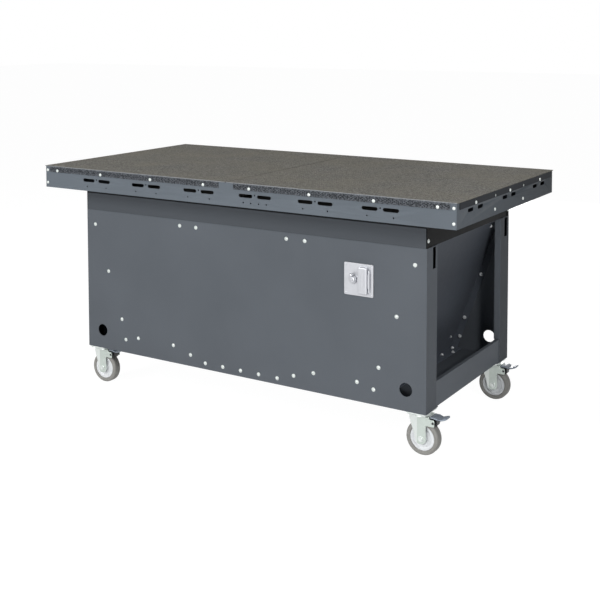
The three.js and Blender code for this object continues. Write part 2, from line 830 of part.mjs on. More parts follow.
// The impeller: a back plate with a hub on the shaft, backward-swept blades and a front shroud.
function makeImpeller() {
  const back = -blowerHalf + impellerPlay;
  const front = blowerHalf - impellerPlay;
  const plate = turned("x", [
    [0, back],
    [impellerRadius, back],
    [impellerRadius, back + impellerPlate],
    [impellerHubRadius, back + impellerPlate],
    [impellerHubRadius, back + impellerHubLength],
    [0, back + impellerHubLength],
  ], fanSides);
  const shroud = turned("x", [
    [impellerEye, front - impellerPlate],
    [impellerRadius, front - impellerPlate],
    [impellerRadius, front],
    [impellerEye, front],
  ], fanSides);
  const blades = [];
  for (let i = 0; i < bladeCount; i++) {
    const points = [];
    for (let j = 0; j <= bladeSteps; j++) {
      const share = j / bladeSteps;
      const radius = THREE.MathUtils.lerp(bladeRoot, impellerRadius - bladeThickness, share);
      const angle = (i / bladeCount) * 2 * Math.PI - share * bladeSweep;
      points.push([radius * Math.cos(angle), radius * Math.sin(angle)]);
    }
    blades.push(along("x", folded(points, bladeThickness), back + impellerPlate / 2,
      front - impellerPlate / 2));
  }
  const shaft = turned("x", [
    [0, -blowerSide - motorBoreDepth],
    [shaftRadius, -blowerSide - motorBoreDepth],
    [shaftRadius, back + impellerPlate],
    [0, back + impellerPlate],
  ], shaftSides);
  return joined(plate, shroud, shaft, ...blades);
}

// The motor hangs on the scroll's side by its flange. Its shell has cooling fins.
function makeMotor() {
  const face = -blowerSide - seat;
  const flange = face - motorFlangeThickness;
  const end = face - motorLength;
  const finPoints = [];
  for (let i = 0; i < 4 * motorFins; i++) {
    const angle = (i / (4 * motorFins)) * 2 * Math.PI;
    const radius = i % 4 < 2 ? motorRadius : motorRadius - motorFinDepth;
    finPoints.push(new THREE.Vector2(radius * Math.cos(angle), radius * Math.sin(angle)));
  }
  const shell = along("x", new THREE.Shape(finPoints), end, flange + overrun);
  const disc = along("x", discShape(0, 0, motorFlangeRadius), flange, face, 10);
  const boxBottom = motorRadius - 2 * motorFinDepth;
  const boxX = around((end + face) / 2, terminalBoxLength / 2);
  const box = slab(boxX, around(0, terminalBoxWidth / 2), [boxBottom, motorRadius + terminalBoxHeight]);
  const bore = along("x", discShape(0, 0, shaftRadius + seat), face - motorBoreDepth, face + overrun,
    shaftSides / 2);
  return without(joined(shell, disc, box), bore);
}

const outletZ = [blowerAxisZ - scrollRadius, blowerAxisZ - tongueDrop];

// The cover over the switch and the socket, drawn in place on the front panel.
const coverX = bodyHalfLength - coverInset;
const coverZ = bodyTop - coverDrop;
const coverBack = -bodyHalfWidth - seat;
const coverFace = coverBack - coverThickness;
const switchX = coverX - deviceSpacing / 2;
const socketX = coverX + deviceSpacing / 2;
const hingeX = socketX + lidWidth / 2 + knuckleRadius + seat;
const hingeY = coverFace - seat - knuckleRadius;

// The plate has the switch's boss on the left and two knuckles, with the lid's pin, on the right.
function makeCoverPlate() {
  const plate = slab(around(coverX, coverSize / 2), [coverFace, coverBack], around(coverZ, coverSize / 2));
  const boss = along("y", discShape(switchX, coverZ, bossRadius), coverFace - bossDepth, coverBack, 10);
  const shaftBore = along("y", discShape(switchX, coverZ, leverShaftRadius + seat),
    coverFace - bossDepth - overrun, coverBack + overrun, 5);
  const socketHole = slab(around(socketX, deviceWidth / 2 + seat),
    [coverFace - overrun, coverBack + overrun], around(coverZ, deviceHeight / 2 + seat));
  const knuckleZ = [lidKnuckleHeight / 2 + seat, lidKnuckleHeight / 2 + seat + plateKnuckleHeight];
  const knuckles = [-1, 1].map((side) => {
    const z = knuckleZ.map((height) => coverZ + side * height).sort((a, b) => a - b);
    const barrel = along("z", discShape(hingeX, hingeY, knuckleRadius), ...z, barrelSteps);
    const web = slab(around(hingeX, knuckleRadius), [hingeY, coverFace + coverThickness / 2], z);
    return joined(barrel, web);
  });
  const pin = along("z", discShape(hingeX, hingeY, lidPinRadius), coverZ - knuckleZ[1],
    coverZ + knuckleZ[1], pinSteps);
  return without(joined(plate, boss, pin, ...knuckles), shaftBore, socketHole);
}

// The lid over the socket: a tray with an open back and a knuckle on its right edge.
function makeSocketLid() {
  const back = coverFace - seat;
  const front = back - lidDepth;
  const x = around(socketX, lidWidth / 2);
  const z = around(coverZ, lidHeight / 2);
  const shell = slab(x, [front, back], z);
  const hollow = slab([x[0] + lidWall, x[1] - lidWall], [front + lidWall, back + overrun],
    [z[0] + lidWall, z[1] - lidWall]);
  const knuckleZ = around(coverZ, lidKnuckleHeight / 2);
  const barrel = along("z", discShape(hingeX, hingeY, knuckleRadius), ...knuckleZ, barrelSteps);
  const web = slab([x[1] - lidWall, hingeX], [hingeY - knuckleRadius, hingeY], knuckleZ);
  const pinBore = along("z", discShape(hingeX, hingeY, lidPinRadius + seat),
    knuckleZ[0] - overrun, knuckleZ[1] + overrun, pinSteps);
  return without(joined(without(shell, hollow), barrel, web), pinBore);
}

function makeSwitchLever() {
  const face = coverFace - bossDepth - seat;
  const hub = along("y", discShape(switchX, coverZ, leverHubRadius), face - leverHubDepth, face, 8);
  const shaft = along("y", discShape(switchX, coverZ, leverShaftRadius), face - seat, coverBack, 5);
  const arm = new THREE.Shape([
    new THREE.Vector2(switchX - leverWidth / 2, coverZ),
    new THREE.Vector2(switchX + leverWidth / 2, coverZ),
    new THREE.Vector2(switchX + leverTipWidth / 2, coverZ + leverLength),
    new THREE.Vector2(switchX - leverTipWidth / 2, coverZ + leverLength),
  ]);
  return joined(hub, shaft, along("y", arm, face - leverHubDepth, face));
}

const deviceFront = coverBack + seat;
// The socket: its two faces come forward through the cover.
function makeSocket() {
  const block = slab(around(socketX, deviceWidth / 2), [deviceFront, deviceFront + deviceDepth],
    around(coverZ, deviceHeight / 2));
  const band = slab(around(socketX, deviceWidth / 2), [coverFace - deviceRise, deviceFront + seat],
    around(coverZ, deviceHeight / 2));
  const faces = [-1, 1].map((side) => {
    const centre = coverZ + (side * socketSpacing) / 2;
    return along("y", discShape(socketX, centre, socketFaceRadius), coverFace - deviceRise,
      deviceFront + seat, 8);
  });
  return joined(block, band.intersect(joined(...faces)));
}

// The box behind the cover, with the switch's block on its back wall.
function makeElectricalBox() {
  const y = [-insideReach, -insideReach + boxDepth];
  const shell = slab(around(coverX, boxSize / 2), y, around(coverZ, boxSize / 2));
  const inner = boxSize / 2 - boxWall;
  const hollow = slab(around(coverX, inner), [y[0] - overrun, y[1] - boxWall], around(coverZ, inner));
  const block = slab(around(switchX, deviceWidth / 2), [deviceFront, y[1] - boxWall / 2],
    around(coverZ, deviceHeight / 2));
  return joined(without(shell, hollow), block);
}

// Caster pieces, drawn about the swivel axis. The wheel trails towards +X.
const plateTop = bodyBottom - seat;
const plateUnder = plateTop - casterPlateThickness;
const raceUnder = plateUnder - raceHeight;
const crownTop = raceUnder - seat - crownRaceHeight;
const crownUnder = crownTop - crownThickness;
const legOutside = forkGap / 2 + forkThickness;
const pinBottom = crownUnder - seat - kingpinHead;

function makeCasterPlate() {
  const plate = slab(around(0, casterPlateLength / 2), around(0, casterPlateWidth / 2),
    [plateUnder, plateTop]);
  const race = turned("z", [
    [0, pinBottom],
    [kingpinHeadRadius, pinBottom],
    [kingpinHeadRadius, pinBottom + kingpinHead],
    [kingpinRadius, pinBottom + kingpinHead],
    [kingpinRadius, raceUnder],
    [raceRadius, raceUnder],
    [raceRadius, plateUnder + casterPlateThickness / 2],
    [0, plateUnder + casterPlateThickness / 2],
  ], raceSides);
  return joined(plate, race);
}

// The outline of a fork leg with its brake bracket, in the (x, z) plane.
function legShape() {
  const half = forkTopLength / 2;
  const shape = new THREE.Shape();
  shape.moveTo(-half, crownTop);
  shape.lineTo(-half, crownTop - forkDrop);
  shape.lineTo(trail - forkLead, wheelRadius + forkWaistRise);
  shape.lineTo(trail - forkEndRadius, wheelRadius);
  shape.absarc(trail, wheelRadius, forkEndRadius, Math.PI, 2 * Math.PI);
  shape.lineTo(bracketThroat, bracketBottom - 2 * forkThickness);
  shape.lineTo(bracketThroat + 2 * forkThickness, bracketBottom);
  shape.lineTo(bracketReach, bracketBottom);
  shape.lineTo(bracketReach, bracketTop);
  shape.lineTo(half + forkThickness, bracketTop);
  shape.lineTo(half, crownTop);
  shape.closePath();
  return shape;
}

// The fork with its race and the axle that is riveted into it.
function makeFork() {
  const legs = [-1, 1].map((side) => {
    const y = [side * (forkGap / 2), side * legOutside].sort((a, b) => a - b);
    return along("y", legShape(), ...y, 4);
  });
  const crown = slab(around(0, forkTopLength / 2), [-legOutside, legOutside], [crownUnder, crownTop]);
  const race = turned("z", [
    [raceCollarRadius, crownTop - crownThickness / 2],
    [raceRadius, crownTop - crownThickness / 2],
    [raceRadius, crownTop + crownRaceHeight],
    [raceCollarRadius, crownTop + crownRaceHeight],
  ], raceSides);
  const pinHole = along("z", discShape(0, 0, kingpinRadius + seat), crownUnder - overrun,
    crownTop + overrun, raceSides / 2);
  const reach = legOutside + overrun;
  const brakeHole = along("y", discShape(brakePinX, brakePinZ, brakePinRadius + seat), -reach, reach, 4);
  return joined(without(joined(...legs, crown, race), pinHole, brakeHole), makeAxle());
}

function makeAxle() {
  const outer = legOutside + axleHeadThickness;
  const rod = along("y", discShape(trail, wheelRadius, axleRadius), -outer, outer, 4);
  const heads = [-1, 1].map((side) => {
    const y = [side * legOutside, side * outer].sort((a, b) => a - b);
    return along("y", discShape(trail, wheelRadius, axleHeadRadius), ...y, 4);
  });
  return joined(rod, ...heads);
}

// The wheel centre: a hub, a thin web and a rim for the tyre.
function makeWheelCentre() {
  const bore = axleRadius + seat;
  const outer = tyreInnerRadius - seat;
  const inner = outer - hubRimThickness;
  return turned("y", [
    [bore, -hubWidth / 2],
    [hubRadius, -hubWidth / 2],
    [hubRadius, -hubWeb / 2],
    [inner, -hubWeb / 2],
    [inner, -hubRimWidth / 2],
    [outer, -hubRimWidth / 2],
    [outer, hubRimWidth / 2],
    [inner, hubRimWidth / 2],
    [inner, hubWeb / 2],
    [hubRadius, hubWeb / 2],
    [hubRadius, hubWidth / 2],
    [bore, hubWidth / 2],
  ], wheelSides);
}

function makeTyre() {
  const half = wheelWidth / 2;
  return turned("y", [
    [tyreInnerRadius, -half + tyreShoulder / 4],
    [wheelRadius - tyreShoulder, -half],
    [wheelRadius, -half + tyreShoulder],
    [wheelRadius, half - tyreShoulder],
    [wheelRadius - tyreShoulder, half],
    [tyreInnerRadius, half - tyreShoulder / 4],
  ], wheelSides);
}

// The brake: a pedal above the bracket, and a shoe that the pedal's travel brings onto the tyre.
function makeBrake() {
  const radius = wheelRadius + shoeGap;
  const onArc = (angle, out) => [
    trail + (radius + out) * Math.cos(angle),
    wheelRadius + (radius + out) * Math.sin(angle),
  ];
  const blockTop = pedalLow + pedalThickness / 2;
  const block = new THREE.Shape([
    onArc(shoeAngles[0], 0),
    onArc(shoeAngles[0], shoeDepth),
    [pedalKnee, pedalLow - pedalKneeDrop + pedalThickness / 2],
    [pedalShoulder, blockTop],
    [brakePinX - 2 * brakePinRadius, blockTop],
    [brakePinX - 2 * brakePinRadius, brakePinZ],
    onArc(shoeAngles[1], 0),
    onArc((shoeAngles[0] + shoeAngles[1]) / 2, 0),
  ].map(([x, z]) => new THREE.Vector2(x, z)));
  const pedal = folded([
    [pedalRoot, pedalLow],
    [pedalShoulder, pedalLow],
    [pedalKnee, pedalLow - pedalKneeDrop],
    [pedalTip, pedalLow + pedalTipRise],
  ], pedalThickness);
  const pinReach = legOutside;
  const pin = along("y", discShape(brakePinX, brakePinZ, brakePinRadius), -pinReach, pinReach, 4);
  return joined(
    along("y", block, -brakeWidth / 2, brakeWidth / 2),
    along("y", pedal, -pedalWidth / 2, pedalWidth / 2),
    pin,
  );
}

const table = new THREE.Group();

const grate = makeGrate();
table.add(piece("grate_right", grate, gratePaint));
table.add(piece("grate_left", grate, gratePaint, true));

const pairs = [
  ["rim_rear", "rim_front", makeLongRim(), rimPaint],
  ["rim_right", "rim_left", makeEndRim(), rimPaint],
  ["support_beam_rear", "support_beam_front", makeSupportBeam(), innerPaint],
  ["collar_rear", "collar_front", makeLongCollar(), bodyPaint],
  ["collar_right", "collar_left", makeEndCollar(), bodyPaint],
  ["base_pan_right", "base_pan_left", makeBasePan(), bodyPaint],
  ["hopper_end_right", "hopper_end_left", makeHopperEnd(), innerPaint],
  ["hopper_floor_right", "hopper_floor_left", makeHopperFloor(), innerPaint],
];
for (const [near, far, body, material] of pairs) {
  table.add(piece(near, body, material));
  table.add(piece(far, body, material, true));
}

const outletPort = slab(around(0, blowerHalf), throughFace, outletZ);
table.add(piece("rear_panel", makePanel([outletPort]), bodyPaint));
const boxOpening = slab(around(-coverX, panelOpening / 2), throughFace, around(coverZ, panelOpening / 2));
table.add(piece("front_panel", makePanel([boxOpening]), bodyPaint, true));

// The posts of the front panel are those of the rear one turned half round, so their sides swap.
const rearPost = makePost(rearPostSlotInset);
const frontPost = makePost(frontPostSlotInset);
table.add(
  piece("rear_post_right", rearPost, bodyPaint),
  piece("rear_post_left", rearPost.mirror([1, 0, 0]), bodyPaint),
  piece("front_post_left", frontPost, bodyPaint, true),
  piece("front_post_right", frontPost.mirror([1, 0, 0]), bodyPaint, true),
);

table.add(piece("sump_pan", makeSumpPan(), innerPaint));

const crossBeam = makeCrossBeam();
for (const [name, side] of [["cross_beam_left", -1], ["cross_beam_right", 1]]) {
  const beam = piece(name, crossBeam, innerPaint);
  beam.position.x = side * crossBeamOffset;
  table.add(beam);
}

const filter = makeFilter();
["filter_left", "filter_middle", "filter_right"].forEach((name, i) => {
  const panelFilter = piece(name, filter, pleatPaper);
  panelFilter.position.x = (i - (filterCount - 1) / 2) * (filterWidth + filterGap);
  table.add(panelFilter);
});

table.add(piece("blower_base", makeBlowerBase(), zinc));
const blower = new THREE.Group();
blower.position.set(0, blowerAxisY, blowerAxisZ);
blower.add(
  piece("blower_housing", makeBlowerHousing(), zinc),
  piece("blower_duct", makeBlowerDuct(), zinc),
  piece("impeller", makeImpeller(), zinc),
  piece("blower_motor", makeMotor(), motorPaint),
);
table.add(blower);

table.add(
  piece("cover_plate", makeCoverPlate(), castCover),
  piece("socket_lid", makeSocketLid(), castCover),
  piece("switch_lever", makeSwitchLever(), castCover),
  piece("socket", makeSocket(), whiteMoulding),
  piece("electrical_box", makeElectricalBox(), zinc),
);

const casterBodies = [
  ["plate", makeCasterPlate(), zinc],
  ["fork", makeFork(), zinc],
  ["brake", makeBrake(), darkMoulding],
];
const wheelBodies = [
  ["wheel_centre", makeWheelCentre(), whiteMoulding],
  ["tyre", makeTyre(), greyRubber],
];
for (const [corner, sideX, sideY] of [["fl", -1, -1], ["fr", 1, -1], ["rl", -1, 1], ["rr", 1, 1]]) {
  const caster = new THREE.Group();
  caster.position.x = sideX * (bodyHalfLength - casterInset);
  caster.position.y = sideY * (bodyHalfWidth - casterSideInset);
  for (const [part, body, material] of casterBodies) {
    caster.add(piece(`caster_${corner}_${part}`, body, material));
  }
  const wheel = new THREE.Group();
  wheel.position.set(trail, 0, wheelRadius);
  for (const [part, body, material] of wheelBodies) {
    wheel.add(piece(`caster_${corner}_${part}`, body, material));
  }
  caster.add(wheel);
  table.add(caster);
}

export default table;
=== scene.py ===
"""The looks of a downdraft work table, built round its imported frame."""

import json
import logging
import math
from dataclasses import dataclass, field
from enum import Enum
from typing import Any, Sequence

import bmesh
import bpy
import numpy as np
from mathutils import Matrix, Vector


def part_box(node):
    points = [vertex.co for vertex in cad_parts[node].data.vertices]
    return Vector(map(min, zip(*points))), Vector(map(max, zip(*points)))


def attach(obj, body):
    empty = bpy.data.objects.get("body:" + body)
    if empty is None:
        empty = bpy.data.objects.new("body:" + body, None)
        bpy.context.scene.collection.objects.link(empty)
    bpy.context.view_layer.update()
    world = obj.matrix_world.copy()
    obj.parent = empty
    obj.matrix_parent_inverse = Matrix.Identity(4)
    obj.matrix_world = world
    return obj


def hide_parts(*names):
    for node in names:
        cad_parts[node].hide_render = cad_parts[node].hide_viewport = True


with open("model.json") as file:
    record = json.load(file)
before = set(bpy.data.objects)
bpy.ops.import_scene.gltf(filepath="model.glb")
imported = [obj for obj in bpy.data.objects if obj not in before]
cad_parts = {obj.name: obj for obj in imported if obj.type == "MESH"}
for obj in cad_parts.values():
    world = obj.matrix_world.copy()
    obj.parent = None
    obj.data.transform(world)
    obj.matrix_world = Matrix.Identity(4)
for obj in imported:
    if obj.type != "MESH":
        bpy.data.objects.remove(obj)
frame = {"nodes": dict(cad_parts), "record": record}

log = logging.getLogger("downdraft_table")

Triple = tuple[float, float, float]
Pair = tuple[float, float]
Points = Sequence[Sequence[float]]

MM = 0.001
FRONT = -1
REAR = 1
LEFT = -1
RIGHT = 1
FACES = (FRONT, REAR)
ENDS = (LEFT, RIGHT)
CORNERS = ("fl", "fr", "rl", "rr")

SHARP_ANGLE = math.radians(32)
SHEET_ANGLE = math.radians(28)
FLAT_ANGLE = math.radians(0.6)
BEVEL_ANGLE = math.radians(35)

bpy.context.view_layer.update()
SLOT_OF = {part["node"]: part["material_slot"] for part in frame["record"]["subparts"]}
BODY_OF = {node: body for body, nodes in frame["record"]["behaviour"]["bodies"].items() for node in nodes}


class Field:
    """A shader value that takes part in sums, each of which adds a Math node."""

    def __init__(self, tree: bpy.types.NodeTree, socket: bpy.types.NodeSocket) -> None:
        """Keeps the tree that the sums go into and the socket that holds the value."""
        self.tree = tree
        self.socket = socket

    def _sum(self, operation: str, *values: Any) -> "Field":
        """Adds one Math node.

        Args:
            operation: The Math node's operation.
            values: A Field or a number for each input that it uses.

        Returns:
            The node's result.
        """
        node = self.tree.nodes.new("ShaderNodeMath")
        node.operation = operation
        for socket, value in zip(node.inputs, values):
            if isinstance(value, Field):
                self.tree.links.new(value.socket, socket)
            else:
                socket.default_value = value
        return Field(self.tree, node.outputs[0])

    def __add__(self, other: Any) -> "Field":
        """This value and another."""
        return self._sum("ADD", self, other)

    __radd__ = __add__

    def __mul__(self, other: Any) -> "Field":
        """This value times another."""
        return self._sum("MULTIPLY", self, other)

    __rmul__ = __mul__

    def __sub__(self, other: Any) -> "Field":
        """This value less another."""
        return self._sum("SUBTRACT", self, other)

    def __rsub__(self, other: Any) -> "Field":
        """Another value less this one."""
        return self._sum("SUBTRACT", other, self)

    def __truediv__(self, other: Any) -> "Field":
        """This value over another."""
        return self._sum("DIVIDE", self, other)

    def __rtruediv__(self, other: Any) -> "Field":
        """Another value over this one."""
        return self._sum("DIVIDE", other, self)

    def magnitude(self) -> "Field":
        """This value without its sign."""
        return self._sum("ABSOLUTE", self)

    def larger(self, other: Any) -> "Field":
        """The larger of this value and another."""
        return self._sum("MAXIMUM", self, other)

    def between(self, low: float, high: float) -> "Field":
        """This value brought from low..high to 0..1 and held there."""
        scaled = (self - low) / (high - low)
        scaled.socket.node.use_clamp = True
        return scaled

    def past(self, level: float, soft: float) -> "Field":
        """0 below a level and 1 above it, changing within a soft distance of it."""
        return self.between(level - soft, level + soft)


class Shader:
    """The node tree of one material or world, with the few kinds of node that they use."""

    def __init__(self, name: str, world: bool = False) -> None:
        """Makes an empty material or world with its output and its Object coordinates."""
        self.owner = (bpy.data.worlds if world else bpy.data.materials).new(name)
        self.owner.use_nodes = True
        self.tree = self.owner.node_tree
        self.tree.nodes.clear()
        self.output = self.node("OutputWorld" if world else "OutputMaterial")
        self.place = self.node("TexCoord").outputs["Object"]

    def node(self, kind: str, settings: dict[str, Any] | None = None, **sockets: Any) -> bpy.types.Node:
        """Adds a node.

        Args:
            kind: The node's type, without its leading ShaderNode.
            settings: The node's own settings, which are set before its sockets.
            sockets: The value or the link of each socket, with _ for a space in its name.

        Returns:
            The new node.
        """
        node = self.tree.nodes.new("ShaderNode" + kind)
        for key, value in (settings or {}).items():
            setattr(node, key, value)
        for key, value in sockets.items():
            self.feed(node.inputs[key.replace("_", " ")], value)
        return node

    def feed(self, socket: bpy.types.NodeSocket, value: Any) -> None:
        """Links a Field or a socket to the socket, or sets a plain value on it."""
        if isinstance(value, Field):
            value = value.socket
        if isinstance(value, bpy.types.NodeSocket):
            self.tree.links.new(value, socket)
        elif isinstance(value, tuple) and len(value) == 3 and socket.type == "RGBA":
            socket.default_value = (*value, 1.0)
        else:
            socket.default_value = value

    def noise(self, scale: float, detail: float = 2.0, roughness: float = 0.5) -> Field:
        """Noise of the given scale, in turns a metre."""
        made = self.node("TexNoise", Vector=self.place, Scale=scale, Detail=detail, Roughness=roughness)
        return Field(self.tree, made.outputs["Fac"])

    def cells(self, scale: float) -> Field:
        """A value that differs from one cell of the given scale to the next."""
        made = self.node("TexVoronoi", Vector=self.place, Scale=scale)
        return Field(self.tree, self.node("SeparateColor", Color=made.outputs["Color"]).outputs[0])

    def axes(self) -> tuple[Field, Field, Field]:
        """The three Object coordinates."""
        made = self.node("SeparateXYZ", Vector=self.place)
        return tuple(Field(self.tree, made.outputs[i]) for i in range(3))

    def blend(self, share: Any, first: Any, second: Any) -> bpy.types.NodeSocket:
        """A colour between two others."""
        mix = self.node("Mix", {"data_type": "RGBA"})
        self.feed(mix.inputs["Factor"], share)
        colours = [socket for socket in mix.inputs if socket.type == "RGBA"]
        self.feed(colours[0], first)
        self.feed(colours[1], second)
        return next(socket for socket in mix.outputs if socket.type == "RGBA")

    def relief(self, height: Field, depth: float, strength: float) -> bpy.types.NodeSocket:
        """A Bump node's normal for a height that runs from 0 to 1.

        Args:
            height: The height.
            depth: The real depth of a height of 1, in metres.
            strength: How much of the bump is used.

        Returns:
            The bent normal.
        """
        return self.node("Bump", Height=height, Distance=depth, Strength=strength).outputs["Normal"]

    def surface(self, **sockets: Any) -> bpy.types.Material:
        """Ends the material with a Principled shader whose sockets are given."""
        shader = self.node("BsdfPrincipled", **sockets)
        self.tree.links.new(shader.outputs[0], self.output.inputs["Surface"])
        return self.owner

    def seen(self, lit: bpy.types.Node, shown: bpy.types.Node, share: float) -> Any:
        """Ends the tree with one shader for light, and another for what the camera sees.

        Args:
            lit: The shader that light meets.
            shown: The shader that the camera sees, also in reflections and through clear surfaces.
            share: How much of the camera's view is the second shader's.

        Returns:
            The material or the world.
        """
        rays = self.node("LightPath").outputs
        kinds = ("Is Camera Ray", "Is Glossy Ray", "Is Transmission Ray")
        camera, glossy, clear = (Field(self.tree, rays[kind]) for kind in kinds)
        mixed = self.node("MixShader")
        self.feed(mixed.inputs[0], (camera + glossy + clear) * share)
        self.feed(mixed.inputs[1], lit.outputs[0])
        self.feed(mixed.inputs[2], shown.outputs[0])
        self.tree.links.new(mixed.outputs[0], self.output.inputs["Surface"])
        return self.owner


def lighter(colour: Sequence[float], factor: float) -> Triple:
    """A colour times a factor, held within 0..1."""
    return tuple(min(1.0, channel * factor) for channel in colour)


@dataclass(frozen=True)
class Finish:
    """A material's name and its main colour."""

    name: str
    colour: Triple

    def tone(self, factor: float) -> Triple:
        """The colour times a factor."""
        return lighter(self.colour, factor)


@dataclass(frozen=True)
class PowderCoat(Finish):
    """Baked powder paint: orange peel, a slow drift of tone and a little dust."""

    roughness: float = 0.5
    peel: float = 0.00006
    speck: float = 0.24
    shine: float = 0.05

    def shaded(self, paint: Shader, tone: bpy.types.NodeSocket) -> bpy.types.NodeSocket:
        """The tone with painted light and shade on some of the piece, which a plain coat has none of."""
        return tone

    def build(self) -> bpy.types.Material:
        """Makes the material."""
        paint = Shader(self.name)
        drift = paint.noise(2.6, 3.0)
        grain = paint.noise(900.0, 1.0)
        scuff = paint.noise(38.0, 6.0, 0.7)
        tone = paint.blend(drift.between(0.3, 0.7), self.tone(0.94), self.tone(1.06))
        specked = paint.blend(grain.between(0.55, 0.8) * self.speck, tone, self.tone(1.5))
        return paint.surface(
            Base_Color=self.shaded(paint, specked),
            Roughness=self.roughness + (scuff - 0.5) * 0.16 + (drift - 0.5) * 0.08,
            Metallic=0.0,
            Specular_IOR_Level=self.shine,
            Normal=paint.relief(paint.noise(420.0, 2.0), self.peel, 0.55),
        )


@dataclass(frozen=True)
class RimCoat(PowderCoat):
    """The rim's paint, with painted shade inside the channel and behind the skirts of the top, and painted
    shade on the two ends, the more so towards the rear."""

    half_length: float = 0.92575
    half_width: float = 0.48125
    skirt_foot: float = 0.9043
    skirt_start: float = 0.0347
    skirt_end: float = 0.9027
    soft: float = 0.0003
    # Tone factors of painted shade: inside the channel and behind the skirts, and on the ends from front to
    # rear.
    inside: float = 0.12
    end_shade_front: float = 0.8
    end_shade_rear: float = 0.45

    def shaded(self, paint: Shader, tone: bpy.types.NodeSocket) -> bpy.types.NodeSocket:
        """Painted shade: darker within the middle of the sheet's thickness, where a skirt lies over it, and
        on the end faces towards the rear.
        """
        x, y, z = paint.axes()
        along = x.magnitude()
        outside = (along - self.half_length).larger(y.magnitude() - self.half_width).past(0.0, self.soft)
        under = z.past(self.skirt_foot, self.soft) * along.past(self.skirt_start, self.soft)
        # Painted shade inside the channel and on the rim behind the skirts.
        bare = outside * (1 - under * (1 - along.past(self.skirt_end, self.soft)))
        # Painted shade on the end faces, darker towards the rear.
        back = y.between(-self.half_width, self.half_width)
        shaded_tone = paint.blend(back, self.tone(self.end_shade_front), self.tone(self.end_shade_rear))
        faced = paint.blend(along.past(self.half_length, self.soft), tone, shaded_tone)
        return paint.blend(bare, self.tone(self.inside), faced)


@dataclass(frozen=True)
class BodyCoat(PowderCoat):
    """The cabinet's paint, with painted shade on the collar, where the overhanging top shades it, painted
    light on the rails and lips of the bays, painted shade on the rear posts, and darkest painted shade in
    the corners behind the posts."""

    panel_top: float = 0.74505
    collar_end: float = 0.7771
    shade_line: float = 0.8160
    shade_height: float = 0.0025
    wall_middle: float = 0.3912
    wall_end: float = 0.7803
    lip_middle: float = 0.30675
    lip_end: float = 0.7565
    soft: float = 0.0003
    edge: float = 0.0001
    # Tone factors of painted light and shade: the collar, its ends, the shadow line, the inside, the
    # corners, the rails and lips, and the rear posts.
    collar: float = 0.72
    end: float = 0.04
    shade: float = 0.12
    inner: float = 1.0
    corner: float = 0.08
    rail: float = 1.35
    rear: float = 0.62

    def shaded(self, paint: Shader, tone: bpy.types.NodeSocket) -> bpy.types.NodeSocket:
        """The collar's painted shade above the panels' top, darkest on its ends, with a painted shadow line
        under the rim. Below it, one tone on the outside of the sheets and another on their inside, with
        painted light on the rails and lips and painted shade on the rear posts and in the corners."""
        x, y, z = paint.axes()
        along, across = x.magnitude(), y.magnitude()
        end = along.past(self.collar_end, self.soft)
        # Painted shade on the collar under the overhang, darkest on its ends.
        shaded_tone = paint.blend(end, self.tone(self.collar), self.tone(self.end))
        # A painted shadow line under the rim.
        line = z.between(self.shade_line - self.shade_height, self.shade_line)
        collar = paint.blend(line, shaded_tone, self.tone(self.shade))
        bay = self.lip_middle - across
        outer = (along - self.wall_end).larger(across - self.wall_middle).larger(bay)
        # Painted shade in the corners behind the posts.
        behind = along.past(self.lip_end, self.soft)
        inner = paint.blend(behind, self.tone(self.inner), self.tone(self.corner))
        # Painted light on the rails and lips of the bays.
        bright = paint.blend(bay.past(0.0, self.soft) * behind, tone, self.tone(self.rail))
        # Painted shade on the rear posts.
        far = y.past(self.lip_middle, self.soft) * end
        outside = paint.blend(far, bright, self.tone(self.rear))
        body = paint.blend(outer.past(0.0, self.edge), inner, outside)
        return paint.blend(z.past(self.panel_top, self.soft), body, collar)


@dataclass(frozen=True)
class HopperCoat(PowderCoat):
    """The paint inside the cabinet, lighter lower down: painted light for the light that bounces up from the
    floor pan.
    """

    # Painted light, from none at the top level to full at the foot.
    painted_light_top: float = 0.55
    painted_light_foot: float = 0.22
    dust_and_painted_light: float = 1.9

    def shaded(self, paint: Shader, tone: bpy.types.NodeSocket) -> bpy.types.NodeSocket:
        """Painted light: lighter towards the foot."""
        level = paint.axes()[2].between(self.painted_light_foot, self.painted_light_top)
        return paint.blend(level, self.tone(self.dust_and_painted_light), tone)


